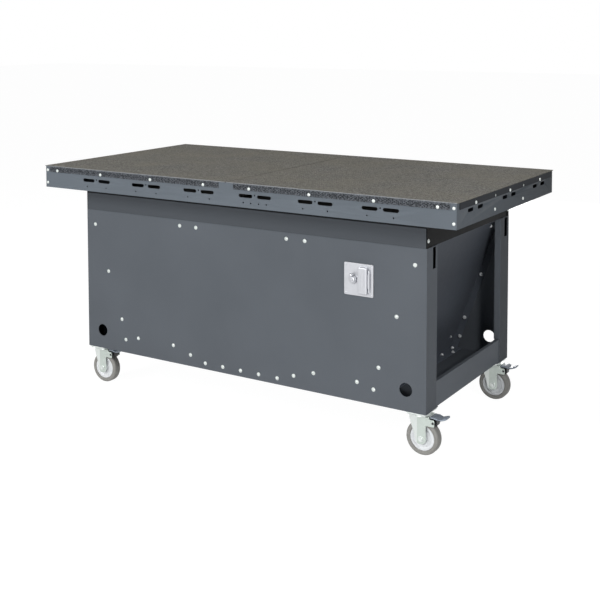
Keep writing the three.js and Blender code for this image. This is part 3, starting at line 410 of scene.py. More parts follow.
@dataclass(frozen=True)
class WornTopCoat(Finish):
    """The coat of the perforated top, dusty and scuffed by the work laid on it, with a painted highlight
    along its long edges, and cleaner down its skirts, the end ones painted nearly black as shade."""

    # The colour of the dust on the top.
    dust_and_painted_light: Triple
    skirt: Triple
    underside: float = 0.9274
    half_length: float = 0.9262
    half_width: float = 0.4841
    soft: float = 0.0001
    roughness: float = 0.7

    def build(self) -> bpy.types.Material:
        """Makes the material."""
        coat = Shader(self.name)
        patches = coat.noise(5.0, 4.0, 0.6)
        speckle = coat.noise(150.0, 3.0, 0.85)
        scratches = coat.noise(70.0, 8.0, 0.75)
        base = coat.blend(speckle.between(0.38, 0.62), self.tone(0.45), self.tone(1.5))
        dusty = coat.blend(patches.between(0.3, 0.75) * 0.5, base, self.dust_and_painted_light)
        worn = coat.blend(scratches.between(0.62, 0.8) * 0.35, dusty, lighter(self.dust_and_painted_light, 1.5))
        clean = coat.blend(speckle.between(0.42, 0.58), lighter(self.skirt, 0.4), lighter(self.skirt, 1.3))
        x, y, z = coat.axes()
        end = x.magnitude().past(self.half_length, self.soft)
        edge = y.magnitude().past(self.half_width, self.soft)
        # Painted shade: the end skirts nearly black.
        skirts = coat.blend(end, clean, lighter(self.skirt, 0.4))
        # A painted highlight along the long edges.
        edge_highlit = coat.blend(edge * 0.6, worn, lighter(self.skirt, 3.0))
        return coat.surface(
            Base_Color=coat.blend(z.past(self.underside, self.soft), skirts, edge_highlit),
            Roughness=self.roughness + (patches - 0.5) * 0.2,
            Metallic=0.0,
            Specular_IOR_Level=0.08,
            Normal=coat.relief(speckle, 0.00012, 0.6),
        )


@dataclass(frozen=True)
class PlatedSteel(Finish):
    """Bright or galvanised plating: crystal patches, fine brushing and a blotchy sheen."""

    roughness: float = 0.3
    crystals: float = 90.0
    crystal_share: float = 0.25
    blotch_share: float = 0.4
    metallic: float = 0.92

    def build(self) -> bpy.types.Material:
        """Makes the material."""
        steel = Shader(self.name)
        crystal = steel.cells(self.crystals)
        blotch = steel.noise(24.0, 4.0, 0.6)
        brushing = steel.noise(700.0, 3.0, 0.7)
        tone = steel.blend(crystal * self.crystal_share, self.colour, self.tone(0.72))
        return steel.surface(
            Base_Color=steel.blend(blotch.between(0.4, 0.75) * self.blotch_share, tone, self.tone(0.85)),
            Roughness=self.roughness + (crystal - 0.5) * 0.1 + (blotch - 0.5) * 0.18,
            Metallic=self.metallic,
            Normal=steel.relief(brushing, 0.00003, 0.5),
        )


@dataclass(frozen=True)
class CastAlloy(Finish):
    """A satin die casting with a slightly pebbled skin."""

    roughness: float = 0.38

    def build(self) -> bpy.types.Material:
        """Makes the material."""
        alloy = Shader(self.name)
        pebble = alloy.noise(520.0, 3.0, 0.6)
        stain = alloy.noise(30.0, 4.0, 0.6)
        return alloy.surface(
            Base_Color=alloy.blend(stain.between(0.35, 0.7) * 0.5, self.colour, self.tone(0.82)),
            Roughness=self.roughness + (stain - 0.5) * 0.2,
            Metallic=0.75,
            Normal=alloy.relief(pebble, 0.00008, 0.7),
        )


@dataclass(frozen=True)
class MouldedPlastic(Finish):
    """A moulded plastic or rubber with a fine spark-eroded grain. Below its shoe level it is black."""

    roughness: float = 0.45
    grain: float = 800.0
    depth: float = 0.00004
    shoe_level: float = 0.0
    shoe: Triple = (0.010, 0.010, 0.012)
    soft: float = 0.0005

    def build(self) -> bpy.types.Material:
        """Makes the material."""
        plastic = Shader(self.name)
        grain = plastic.noise(self.grain, 2.0, 0.6)
        handling = plastic.noise(45.0, 5.0, 0.65)
        tone = plastic.blend(handling.between(0.4, 0.8), self.tone(0.93), self.tone(1.08))
        if self.shoe_level:
            tone = plastic.blend(plastic.axes()[2].past(self.shoe_level, self.soft), self.shoe, tone)
        return plastic.surface(
            Base_Color=tone,
            Roughness=self.roughness + (handling - 0.5) * 0.2,
            Metallic=0.0,
            Normal=plastic.relief(grain, self.depth, 0.6),
        )


@dataclass(frozen=True)
class PleatedPaper(Finish):
    """Filter paper, fibrous and painted dark as shade deep inside the table, with the grey of the dust that
    it has caught.
    """

    def build(self) -> bpy.types.Material:
        """Makes the material."""
        paper = Shader(self.name)
        fibre = paper.noise(1500.0, 4.0, 0.8)
        caught = paper.noise(14.0, 4.0, 0.6)
        return paper.surface(
            Base_Color=paper.blend(caught.between(0.4, 0.8) * 0.6, self.colour, self.tone(0.6)),
            Roughness=0.9,
            Normal=paper.relief(fibre, 0.0001, 0.7),
        )


FINISHES = (
    RimCoat("rim_paint", (0.134, 0.154, 0.176)),
    BodyCoat("body_paint", (0.112, 0.124, 0.140)),
    HopperCoat("inner_paint", (0.074, 0.083, 0.099)),
    WornTopCoat("top_paint", (0.180, 0.175, 0.160), (0.276, 0.258, 0.204), (0.092, 0.100, 0.112)),
    # The filter's dark tone is painted shade, for the dark seen through the slots and holes.
    PleatedPaper("filter_media", (0.085, 0.083, 0.078)),
    PlatedSteel("galvanised", (0.62, 0.64, 0.66), 0.38, 60.0, 0.5, 0.4),
    PowderCoat("motor_paint", (0.035, 0.042, 0.055), 0.35),
    CastAlloy("cover_metal", (0.54, 0.55, 0.58)),
    PlatedSteel("zinc", (0.72, 0.76, 0.74), 0.36, 90.0, 0.08, 0.15, 0.55),
    PlatedSteel("bright_zinc", (0.93, 0.95, 0.96), 0.3, 90.0, 0.05, 0.1, 0.2),
    # A darker copy of the zinc, painted shade on the flat parts of the fork legs.
    PlatedSteel("shaded_zinc", (0.56, 0.62, 0.58), 0.42, 70.0, 0.25, 0.4, 0.55),
    MouldedPlastic("white_moulding", (0.82, 0.84, 0.86), 0.4),
    MouldedPlastic("pedal_moulding", (0.270, 0.310, 0.370), 0.38, shoe_level=0.139),
    MouldedPlastic("tyre", (0.280, 0.274, 0.258), 0.6, 500.0, 0.00012),
)


class Paintbox:
    """The materials, each made once."""

    def __init__(self) -> None:
        """Makes every finish."""
        self.materials = {finish.name: finish.build() for finish in FINISHES}

    def __getitem__(self, name: str) -> bpy.types.Material:
        """The material of a finish."""
        return self.materials[name]


@dataclass
class Surface:
    """Vertices and faces that grow by adding more."""

    vertices: np.ndarray = field(default_factory=lambda: np.zeros((0, 3)))
    faces: list[np.ndarray] = field(default_factory=list)

    def add(self, vertices: np.ndarray, *faces: np.ndarray) -> "Surface":
        """Adds vertices and the faces on them.

        Args:
            vertices: An (n, 3) array.
            faces: Arrays of vertex numbers, one row a face.

        Returns:
            This surface.
        """
        base = len(self.vertices)
        self.vertices = np.vstack([self.vertices, vertices])
        self.faces += [np.asarray(rows) + base for rows in faces if len(rows)]
        return self

    def join(self, other: "Surface") -> "Surface":
        """Adds another surface."""
        return self.add(other.vertices, *other.faces)

    def moved(self, offset: Sequence[float]) -> "Surface":
        """A copy at another place."""
        return Surface(self.vertices + np.asarray(offset), list(self.faces))

    def turned(self, basis: Points) -> "Surface":
        """A copy whose axes become the three rows of the basis."""
        return Surface(self.vertices @ np.asarray(basis, float), list(self.faces))

    def copies(self, places: Points) -> "Surface":
        """One copy at each place: every vertex plus every place, as whole arrays."""
        count = len(self.vertices)
        spots = np.asarray(places, float).reshape(-1, 3)
        vertices = (self.vertices[None] + spots[:, None]).reshape(-1, 3)
        steps = np.arange(len(spots))[:, None, None] * count
        faces = [(rows[None] + steps).reshape(-1, rows.shape[1]) for rows in self.faces]
        return Surface(vertices, faces)

    def build(self, name: str, material: bpy.types.Material, even: bool = False) -> bpy.types.Object:
        """Makes the mesh object: doubles are merged and the normals point outwards.

        Args:
            name: The object's name.
            material: Its material.
            even: Whether broad faces keep their shading flat beside rounded edges.

        Returns:
            The object, linked to the scene.
        """
        mesh = bpy.data.meshes.new(name)
        rows = [row for part in self.faces for row in part.tolist()]
        mesh.from_pydata(self.vertices.tolist(), [], rows)
        body = bmesh.new()
        body.from_mesh(mesh)
        bmesh.ops.remove_doubles(body, verts=body.verts, dist=1e-6)
        bmesh.ops.recalc_face_normals(body, faces=body.faces)
        body.to_mesh(mesh)
        body.free()
        mesh.shade_smooth()
        mesh.set_sharp_from_angle(angle=SHARP_ANGLE)
        made = bpy.data.objects.new(name, mesh)
        bpy.context.scene.collection.objects.link(made)
        mesh.materials.append(material)
        if even:
            made.modifiers.new("shading", "WEIGHTED_NORMAL").keep_sharp = True
        return made


def grid_faces(rows: int, columns: int, wrap: bool = False) -> np.ndarray:
    """The four-sided faces of a grid of vertices laid out row by row.

    Args:
        rows: How many rows of vertices.
        columns: How many vertices in a row.
        wrap: Whether the end of a row joins its start.

    Returns:
        An (n, 4) array of vertex numbers.
    """
    low = np.arange(rows - 1)[:, None] * columns
    here = np.arange(columns if wrap else columns - 1)[None]
    after = (here + 1) % columns
    corners = (low + here, low + after, low + columns + after, low + columns + here)
    return np.stack(corners, -1).reshape(-1, 4)


def revolved(profile: Points, steps: int, flutes: np.ndarray | None = None) -> Surface:
    """A surface of revolution about Z: each profile point (radius, height) goes round in a circle, radius
    times (cos t, sin t) at its height, and the circles are joined in order. A circle of no radius closes to
    a point.

    Args:
        profile: The points, from one end of the axis to the other, or a closed ring's points with the first
            repeated.
        steps: The number of steps round.
        flutes: A factor on the radius for each profile point and each step.

    Returns:
        The surface.
    """
    points = np.asarray(profile, float)
    turn = np.arange(steps) * 2 * np.pi / steps
    radius = points[:, 0][:, None] * (np.ones((len(points), steps)) if flutes is None else flutes)
    x = radius * np.cos(turn)[None]
    y = radius * np.sin(turn)[None]
    z = np.broadcast_to(points[:, 1][:, None], x.shape)
    return Surface().add(np.stack([x, y, z], -1).reshape(-1, 3), grid_faces(len(points), steps, True))


def hexagon(count: int, steps: int, sided: slice) -> np.ndarray:
    """The flutes that make some of a profile's circles six-sided.

    Args:
        count: The number of points in the profile.
        steps: The number of steps round.
        sided: Which of the points become six-sided.

    Returns:
        1, or for those points the cosine of 30 degrees over that of the angle from a side's middle.
    """
    turn = np.arange(steps) * 2 * np.pi / steps
    flutes = np.ones((count, steps))
    flutes[sided] = math.cos(math.pi / 6) / np.cos((turn + np.pi / 6) % (np.pi / 3) - np.pi / 6)
    return flutes


def lofted(outlines: Sequence[np.ndarray], heights: Sequence[float]) -> Surface:
    """Outlines (x, y) with as many points each, one at every height: each is joined to the next, and the
    first and the last are closed by a flat face."""
    count = len(outlines[0])
    rings = [np.column_stack([ring, np.full(count, height)]) for ring, height in zip(outlines, heights)]
    ends = np.vstack([np.arange(count)[::-1], np.arange(count) + count * (len(rings) - 1)])
    return Surface().add(np.vstack(rings), grid_faces(len(rings), count, True), ends)


def mitred(before: np.ndarray, after: np.ndarray) -> np.ndarray:
    """How far each point of an outline goes for a unit of distance: along the sum of the unit normals of its
    two edges, over one plus their product."""
    return (before + after) / (1 + (before * after).sum(1, keepdims=True))


def inset(outline: np.ndarray, distance: float) -> np.ndarray:
    """An anticlockwise outline moved inwards."""
    run = np.roll(outline, -1, 0) - outline
    run /= np.linalg.norm(run, axis=1, keepdims=True)
    after = np.stack([-run[:, 1], run[:, 0]], -1)
    return outline + mitred(np.roll(after, 1, 0), after) * distance


def cushion(outline: np.ndarray, low: float, high: float, edge: float) -> Surface:
    """A slab between two heights whose long edges are rounded by quarter arcs: at an angle a the outline is
    inset by the edge's radius times (1 - sin a), at the radius times (1 - cos a) from its face."""
    turn = np.linspace(0, np.pi / 2, 4)
    rings = [inset(outline, edge * (1 - math.sin(a))) for a in turn]
    rises = edge * (1 - np.cos(turn))
    return lofted(rings + rings[::-1], np.concatenate([low + rises, high - rises[::-1]]))


def folded(points: Points, thickness: float) -> np.ndarray:
    """The outline of a strip on the left of a line of points, mitred at its bends, anticlockwise."""
    line = np.array(points, float)
    run = np.diff(line, axis=0)
    run /= np.linalg.norm(run, axis=1, keepdims=True)
    normal = np.stack([-run[:, 1], run[:, 0]], -1)
    step = mitred(np.vstack([normal[:1], normal]), np.vstack([normal, normal[-1:]]))
    return np.vstack([line, (line + step * thickness)[::-1]])


def box_outline(centre: Sequence[float], width: float, height: float, radius: float) -> np.ndarray:
    """An anticlockwise oblong with rounded corners."""
    x, y = centre
    corners = ((-1, -1), (1, -1), (1, 1), (-1, 1))
    return rounded([(x + i * width / 2, y + j * height / 2, radius) for i, j in corners])


def rounded(corners: Sequence[Triple], steps: int = 6) -> np.ndarray:
    """A closed outline whose corners are rounded by arcs.

    Args:
        corners: (x, y, radius) of each corner, in order round the outline.
        steps: The steps in each arc.

    Returns:
        An (n, 2) array of points, each arc worked out from its corner's two tangent points.
    """
    points = np.array([corner[:2] for corner in corners], float)
    out = []
    for index, (x, y, radius) in enumerate(corners):
        here = points[index]
        before = points[index - 1] - here
        after = points[(index + 1) % len(points)] - here
        before /= np.linalg.norm(before)
        after /= np.linalg.norm(after)
        half = math.acos(float(np.clip(before @ after, -1, 1))) / 2
        if radius <= 0 or abs(math.cos(half)) < 1e-6:
            out.append(here[None])
            continue
        centre = here + (before + after) / np.linalg.norm(before + after) * radius / math.sin(half)
        start = here + before * radius / math.tan(half) - centre
        end = here + after * radius / math.tan(half) - centre
        share = np.linspace(0, 1, steps + 1)[:, None]
        angle = math.acos(float(np.clip(start @ end / radius ** 2, -1, 1)))
        arc = (np.sin((1 - share) * angle) * start + np.sin(share * angle) * end) / math.sin(angle)
        out.append(centre + arc)
    return np.vstack(out)


def put(piece: bpy.types.Object, body: str, slot: str, *replaced: str) -> bpy.types.Object:
    """Rides a piece on its body and hides the nodes that it stands for."""
    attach(piece, body)
    if replaced:
        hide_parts(*replaced)
    log.info("%s: %d faces on %s", piece.name, len(piece.data.polygons), body)
    return piece


def bevelled(piece: bpy.types.Object, width: float) -> bpy.types.Object:
    """Rounds the sharp edges of a piece with a Bevel modifier."""
    bevel = piece.modifiers.new("edge", "BEVEL")
    bevel.width = width
    bevel.segments = 2
    bevel.limit_method = "ANGLE"
    bevel.angle_limit = BEVEL_ANGLE
    bevel.harden_normals = True
    return piece


@dataclass
class Workshop:
    """What every sub-assembly needs: the materials, and copies of the frame's sheets with soft edges."""

    paints: Paintbox

    def add(self, shape: Surface, name: str, body: str, finish: str, *replaced: str,
            even: bool = False) -> None:
        """Builds a shape and puts it on its body.

        Args:
            shape: The shape.
            name: The piece's name.
            body: Its body.
            finish: Its finish.
            replaced: The nodes that it stands for.
            even: Whether its broad faces keep their shading flat beside rounded edges.
        """
        put(shape.build(name, self.paints[finish], even), body, finish, *replaced)

    def paint(self, *nodes: str) -> None:
        """Gives nodes that stay as they are the material of their slots."""
        for node in nodes:
            for slot in frame["nodes"][node].material_slots:
                slot.material = self.paints[SLOT_OF[node]]
            log.info("%s: painted as %s", node, SLOT_OF[node])

    @staticmethod
    def tidied(mesh: bpy.types.Mesh) -> None:
        """Merges a mesh's doubles and its coplanar faces, and marks its sharp edges."""
        body = bmesh.new()
        body.from_mesh(mesh)
        bmesh.ops.remove_doubles(body, verts=body.verts, dist=2e-6)
        bmesh.ops.dissolve_limit(body, angle_limit=FLAT_ANGLE, verts=body.verts, edges=body.edges)
        body.to_mesh(mesh)
        body.free()
        mesh.shade_smooth()
        mesh.set_sharp_from_angle(angle=SHEET_ANGLE)

    def copied(self, node: str, name: str) -> bpy.types.Object:
        """A tidied copy of a node, with the material of its slot."""
        mesh = frame["nodes"][node].data.copy()
        self.tidied(mesh)
        mesh.materials.clear()
        mesh.materials.append(self.paints[SLOT_OF[node]])
        made = bpy.data.objects.new(name, mesh)
        bpy.context.scene.collection.objects.link(made)
        return made

    @staticmethod
    def combined(piece: bpy.types.Object, tool: bpy.types.Object, operation: str) -> None:
        """Adds the tool to the piece or cuts it out, and removes the tool."""
        step = piece.modifiers.new("combine", "BOOLEAN")
        step.operation = operation
        step.solver = "EXACT"
        step.object = tool
        view = bpy.context.evaluated_depsgraph_get()
        result = bpy.data.meshes.new_from_object(piece.evaluated_get(view))
        piece.modifiers.clear()
        spare = (piece.data, tool.data)
        piece.data = result
        bpy.data.objects.remove(tool)
        for mesh in spare:
            bpy.data.meshes.remove(mesh)

    def soften(self, node: str, width: float = 0.7 * MM, holes: Surface | None = None) -> bpy.types.Object:
        """Stands a copy of a sheet with rounded edges in for its node.

        Args:
            node: The node.
            width: The width of its rounded edges, in metres.
            holes: Solids that are cut out of it first.

        Returns:
            The copy.
        """
        made = self.copied(node, node + "_sheet")
        if holes is not None:
            self.combined(made, holes.build(node + "_cutter", self.paints[SLOT_OF[node]]), "DIFFERENCE")
        return put(bevelled(made, width), BODY_OF[node], SLOT_OF[node], node)

    @staticmethod
    def points(made: bpy.types.Object) -> np.ndarray:
        """The places of an object's vertices."""
        flat = np.empty(len(made.data.vertices) * 3)
        made.data.vertices.foreach_get("co", flat)
        return flat.reshape(-1, 3)

    @staticmethod
    def move(made: bpy.types.Object, points: np.ndarray) -> None:
        """Puts an object's vertices at other places."""
        made.data.vertices.foreach_set("co", points.ravel())

    def outermost(self, node: str) -> bpy.types.Object:
        """A copy of a node that a welded sheet takes in at its end."""
        return self.copied(node, node + "_spare")

    def welded(self, name: str, middle: str, sides: Sequence[str], seam: float, width: float,
               holes: Surface) -> bpy.types.Object:
        """One sheet in place of three nodes that stand a hair apart.

        Args:
            name: The sheet's name.
            middle: The middle node, whose ends are drawn out into the others.
            sides: The nodes at its two ends.
            seam: The distance of both seams from the middle, in metres.
            width: The width of the sheet's rounded edges, in metres.
            holes: Solids that are cut out of the sheet.

        Returns:
            The sheet.
        """
        overlap = MM
        made = self.copied(middle, name)
        points = self.points(made)
        x = points[:, 0]
        points[:, 0] = np.where(np.abs(x) > seam - overlap, np.sign(x) * (seam + overlap), x)
        self.move(made, points)
        for side in sides:
            self.combined(made, self.outermost(side), "UNION")
        self.combined(made, holes.build(name + "_cutter", self.paints[SLOT_OF[middle]]), "DIFFERENCE")
        self.tidied(made.data)
        return put(bevelled(made, width), BODY_OF[middle], SLOT_OF[middle], middle, *sides)


class Facing(Enum):
    """Which way a fastener's head looks, as the rows (across, up, out) that its own axes become."""

    FRONT = ((1, 0, 0), (0, 0, 1), (0, -1, 0))
    REAR = ((-1, 0, 0), (0, 0, 1), (0, 1, 0))
    RIGHT = ((0, 1, 0), (0, 0, 1), (1, 0, 0))
    LEFT = ((0, -1, 0), (0, 0, 1), (-1, 0, 0))
    DOWN = ((1, 0, 0), (0, -1, 0), (0, 0, -1))
    UP = ((1, 0, 0), (0, 1, 0), (0, 0, 1))


class Fastener:
    """A head that is drawn looking up, from the level of the face it lies on."""

    def head(self) -> Surface:
        """The head."""
        raise NotImplementedError

    def row(self, facing: Facing, places: Points) -> Surface:
        """Heads at the places, all looking one way."""
        return self.head().turned(facing.value).copies(places)


@dataclass(frozen=True)
class ButtonScrew(Fastener):
    """A domed screw head with a six-sided socket, on its washer."""

    radius: float = 6.5 * MM
    height: float = 3.2 * MM
    socket: float = 2.6 * MM
    washer: float = 0.0
    steps: int = 18
    sunk: float = 1.0 * MM

    def head(self) -> Surface:
        """The head. Its dome is the arc (radius times cos a, height times sin a) round the socket's wall."""
        wall = self.radius - self.socket * 1.15
        turn = np.linspace(0, 1, 5) * math.pi / 2
        foot = [(0.0, -self.sunk), (self.radius, -self.sunk)]
        dome = np.stack([self.radius - wall * (1 - np.cos(turn)), self.height * np.sin(turn)], -1)
        socket = [(self.socket, self.height), (self.socket, self.height * 0.35), (0.0, self.height * 0.3)]
        profile = np.vstack([foot, dome, socket])
        made = revolved(profile, self.steps, hexagon(len(profile), self.steps, slice(-3, None)))
        if self.washer:
            disc = [(0.0, -self.sunk), (self.washer, -self.sunk), (self.washer, 0.6 * MM),
                    (self.washer - 0.4 * MM, MM), (0.0, MM)]
            made = made.moved((0, 0, MM)).join(revolved(disc, self.steps))
        return made


@dataclass(frozen=True)
class HexNut(Fastener):
    """A six-sided nut or bolt head on its washer, with the tip of its bolt."""

    radius: float = 6.2 * MM
    height: float = 5.0 * MM
    washer: float = 7.6 * MM
    tip: float = 3.0 * MM
    tip_height: float = 2.5 * MM
    sunk: float = 0.6 * MM

    def head(self) -> Surface:
        """The nut, whose top edge is turned down to a circle, then the washer and the tip."""
        steps = 24
        profile = [(0.0, MM), (self.radius, MM), (self.radius, self.height * 0.85),
                   (self.radius * 0.84, self.height), (0.0, self.height)]
        disc = [(0.0, -self.sunk), (self.washer, -self.sunk), (self.washer, 0.9 * MM),
                (self.washer - 0.3 * MM, 1.2 * MM), (0.0, 1.2 * MM)]
        made = revolved(profile, steps, hexagon(len(profile), steps, slice(1, 3)))
        made.join(revolved(disc, steps))
        if self.tip:
            start, end = self.height - self.sunk, self.height + self.tip_height
            tip = [(0.0, start), (self.tip, start), (self.tip, end - 0.5 * MM), (self.tip - 0.5 * MM, end),
                   (0.0, end)]
            made.join(revolved(tip, 12))
        return made


@dataclass(frozen=True)
class Perforation:
    """The staggered six-sided holes of a sheet. Each hole sits in an oblong cell one pitch wide, whose six
    outline points (its corners and the middles of its long sides) face the hole's six corners."""

    pitch: float = 14.0 * MM
    hole: float = 4.4 * MM
    margin: float = 2.4 * MM

    def face(self, width: float, height: float) -> tuple[np.ndarray, np.ndarray, np.ndarray, np.ndarray]:
        """The sheet's flat face from (0, 0) to (width, height).

        Args:
            width: The face's width.
            height: The face's height.

        Returns:
            The points, the faces on them, and the first and second point of each edge of each hole.
        """
        row_pitch = self.pitch * math.sin(math.pi / 3)
        columns = int((width - 2 * self.margin) / self.pitch)
        rows = int((height - 2 * self.margin) / row_pitch)
        left = (width - columns * self.pitch) / 2
        low = (height - rows * row_pitch) / 2
        r, c = np.meshgrid(np.arange(rows), np.arange(columns), indexing="ij")
        shifted = r % 2 == 1
        full = ~(shifted & (c == columns - 1))
        centres = np.stack([
            left + (c + 0.5 + 0.5 * shifted) * self.pitch,
            low + (r + 0.5) * row_pitch,
        ], -1)[full]
        signs = np.array([(-1, -1), (0, -1), (1, -1), (1, 1), (0, 1), (-1, 1)])
        outline = signs * [self.pitch / 2, row_pitch / 2]
        angles = np.radians([210, 270, 330, 30, 90, 150])
        hole = np.stack([np.cos(angles), np.sin(angles)], -1) * self.hole
        cell = np.vstack([outline, hole])
        points = (centres[:, None] + cell[None]).reshape(-1, 2)
        side = np.arange(6)
        after = (side + 1) % 6
        ring = np.stack([side, after, after + 6, side + 6], -1)
        base = np.arange(len(centres))[:, None, None] * len(cell)
        quads = (ring[None] + base).reshape(-1, 4)
        edges = (np.stack([side + 6, after + 6], -1)[None] + base).reshape(-1, 2)
        levels = low + np.arange(rows + 1) * row_pitch
        whole = np.concatenate([[0], levels, [height]])
        halves = left + np.arange(2 * columns + 1) * self.pitch / 2
        strips = [((0, left), whole), ((width - left, width), whole)]
        strips += [(halves, (0, low)), (halves, (height - low, height))]
        for row in range(1, rows, 2):
            strips += [(half, levels[row:row + 2]) for half in (halves[:2], halves[-2:])]
        for across, up in strips:
            quads = np.vstack([quads, grid_faces(len(up), len(across)) + len(points)])
            points = np.vstack([points, np.stack(np.meshgrid(across, up), -1).reshape(-1, 2)])
        return points, quads, edges[:, 0], edges[:, 1]

    def sheet(self, width: float, height: float, thickness: float) -> Surface:
        """The whole sheet from (0, 0, 0) to (width, height, thickness): two faces, the walls of the holes,
        and the four edges, whose points match those of the faces."""
        points, quads, first, second = self.face(width, height)
        count = len(points)
        bottom = np.column_stack([points, np.zeros(count)])
        top = np.column_stack([points, np.full(count, thickness)])
        walls = np.stack([second, first, first + count, second + count], -1)
        made = Surface().add(np.vstack([bottom, top]), quads[:, ::-1], quads + count, walls)
        tiny = 1e-7
        for axis, level in ((0, 0.0), (0, width), (1, 0.0), (1, height)):
            on_edge = points[np.abs(points[:, axis] - level) < tiny][:, 1 - axis]
            steps = np.unique(np.round(on_edge, 7))
            line = np.zeros((2, len(steps), 3))
            line[:, :, 1 - axis] = steps
            line[:, :, axis] = level
            line[1, :, 2] = thickness
            made.add(line.reshape(-1, 3), grid_faces(2, len(steps)))
        return made


@dataclass
class WorkTop(Workshop):
    """The two perforated halves of the top, each with its skirts and its screws."""

    top: Perforation = Perforation()
    skirt: Perforation = Perforation(8.4 * MM, 2.6 * MM, 0.9 * MM)
    seam: float = 1.8 * MM
    screw: ButtonScrew = ButtonScrew(6.2 * MM, 3.2 * MM)
    sheet: float = 2.5 * MM
    half_length: float = 0.927
    corner_notch: float = 24.0 * MM
    centre_notch: float = 34.0 * MM
    screw_drop: float = 19.0 * MM
    screw_places: tuple[float, ...] = (0.105, 0.363, 0.622, 0.860)
    side_screws: tuple[float, ...] = (-0.325, 0.0, 0.325)

    def laid(self, perforation: Perforation, length: float, width: float) -> Surface:
        """A perforated sheet from (0, 0) to (length, width), its rows of holes lying across it."""
        return perforation.sheet(width, length, self.sheet).turned([(0, 1, 0), (1, 0, 0), (0, 0, 1)])

    def half(self, node: str, side: int) -> None:
        """One half: the sheet, the front, rear and end skirts, and the screws that hold them.

        Args:
            node: The half's node.
            side: LEFT or RIGHT.
        """
        low, high = (np.array(corner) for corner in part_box(node))
        inner = low[0] + self.seam if side == RIGHT else low[0]
        length = high[0] - low[0] - self.seam
        sheet = self.laid(self.top, length, high[1] - low[1]).moved((inner, low[1], high[2] - self.sheet))
        self.add(sheet, node.replace("grate", "top_sheet"), "table", "top_paint", node)
        start, end = sorted((side * self.centre_notch, side * (self.half_length - self.corner_notch)))
        drop = high[2] - self.sheet - low[2]
        skirt = self.laid(self.skirt, end - start, drop)
        skirts = skirt.turned(Facing.FRONT.value).moved((start, low[1] + self.sheet, low[2]))
        skirts.join(skirt.turned(Facing.REAR.value).moved((end, high[1] - self.sheet, low[2])))
        facing, face = (Facing.RIGHT, high[0]) if side == RIGHT else (Facing.LEFT, low[0])
        reach = (high[1] - low[1]) / 2 - self.corner_notch
        plain = cushion(box_outline((0.0, drop / 2), 2 * reach, drop, 1.0 * MM), 0.0, self.sheet, 0.5 * MM)
        skirts.join(plain.turned(facing.value).moved((face - side * self.sheet, 0.0, low[2])))
        self.add(skirts, node.replace("grate", "skirts"), "table", "top_paint")
        height = high[2] - self.screw_drop
        screws = self.screw.row(Facing.FRONT, [(side * x, low[1], height) for x in self.screw_places])
        screws.join(self.screw.row(Facing.REAR, [(side * x, high[1], height) for x in self.screw_places]))
        screws.join(self.screw.row(facing, [(face, y, height) for y in self.side_screws]))
        self.add(screws, node.replace("grate", "skirt_screws"), "table", "zinc")

    def build(self) -> None:
        """Both halves."""
        self.half("grate_right", RIGHT)
        self.half("grate_left", LEFT)


@dataclass
class Rim(Workshop):
    """The four sides under the top, with their paired slots, their small holes and their screws."""

    small_hole: float = 3.0 * MM
    slot: Pair = (0.061, 0.0122)
    slot_level: float = 0.884
    slot_apart: float = 0.041
    end_slot: Pair = (0.047, 0.0122)
    end_slot_level: float = 0.891
    end_slot_apart: float = 0.043
    end_slot_pitch: float = 0.321
    slot_centres: tuple[float, ...] = (0.129, 0.387, 0.646)
    upper_hole: float = 0.888
    lower_hole: float = 0.858
    lower_apart: float = 0.051
    middle_apart: float = 0.017
    screw: ButtonScrew = ButtonScrew(6.2 * MM, 3.2 * MM)
    corner_screws: tuple[float, Pair] = (0.917, (0.911, 0.859))
    end_screws: tuple[float, Pair] = (0.143, (0.911, 0.861))
    half_length: float = 0.927
    half_width: float = 0.4825
    cut: float = 12.0 * MM

    def drilled(self, facing: Facing, places: Points) -> Surface:
        """Round cutters through the sheet at each place."""
        radius, reach = self.small_hole, self.cut
        rod = revolved([(0.0, -reach), (radius, -reach), (radius, reach), (0.0, reach)], 12)
        return rod.turned(facing.value).copies(places)

    def slotted(self, facing: Facing, size: Pair, places: Points) -> Surface:
        """Cutters of round-ended slots through the sheet at each place."""
        outline = box_outline((0.0, 0.0), *size, 0.49 * size[1])
        return lofted([outline, outline], (-self.cut, self.cut)).turned(facing.value).copies(places)

    def build(self) -> None:
        """The long sides with their slots and holes, the ends with theirs, and the screws of both."""
        centres = [side * step for side in ENDS for step in self.slot_centres]
        holes = [(x, self.upper_hole) for x in centres]
        holes += [(x + side * self.lower_apart, self.lower_hole) for x in centres for side in ENDS]
        holes += [(self.slot_centres[0] + side * self.middle_apart, self.lower_hole) for side in ENDS]
        screws = Surface()
        corner, levels = self.corner_screws
        for node, facing, side in (("rim_front", Facing.FRONT, FRONT), ("rim_rear", Facing.REAR, REAR)):
            face = side * self.half_width
            pairs = [(x + i * self.slot_apart, face, self.slot_level) for x in centres for i in ENDS]
            places = [(-side * x, face, z) for x, z in holes]
            cutters = self.drilled(facing, places).join(self.slotted(facing, self.slot, pairs))
            self.soften(node, holes=cutters)
            screws.join(self.screw.row(facing, [(end * corner, face, z) for end in ENDS for z in levels]))
        middle, levels = self.end_screws
        across = [i * self.end_slot_pitch + j * self.end_slot_apart for i in (-1, 0, 1) for j in FACES]
        for node, facing, end in (("rim_left", Facing.LEFT, LEFT), ("rim_right", Facing.RIGHT, RIGHT)):
            face = end * self.half_length
            pairs = [(face, y, self.end_slot_level) for y in across]
            self.soften(node, holes=self.slotted(facing, self.end_slot, pairs))
            screws.join(self.screw.row(facing, [(face, side * middle, z) for side in FACES for z in levels]))
        for node in ("support_beam_front", "support_beam_rear"):
            self.soften(node)
        self.add(screws, "rim_screws", "table", "zinc")


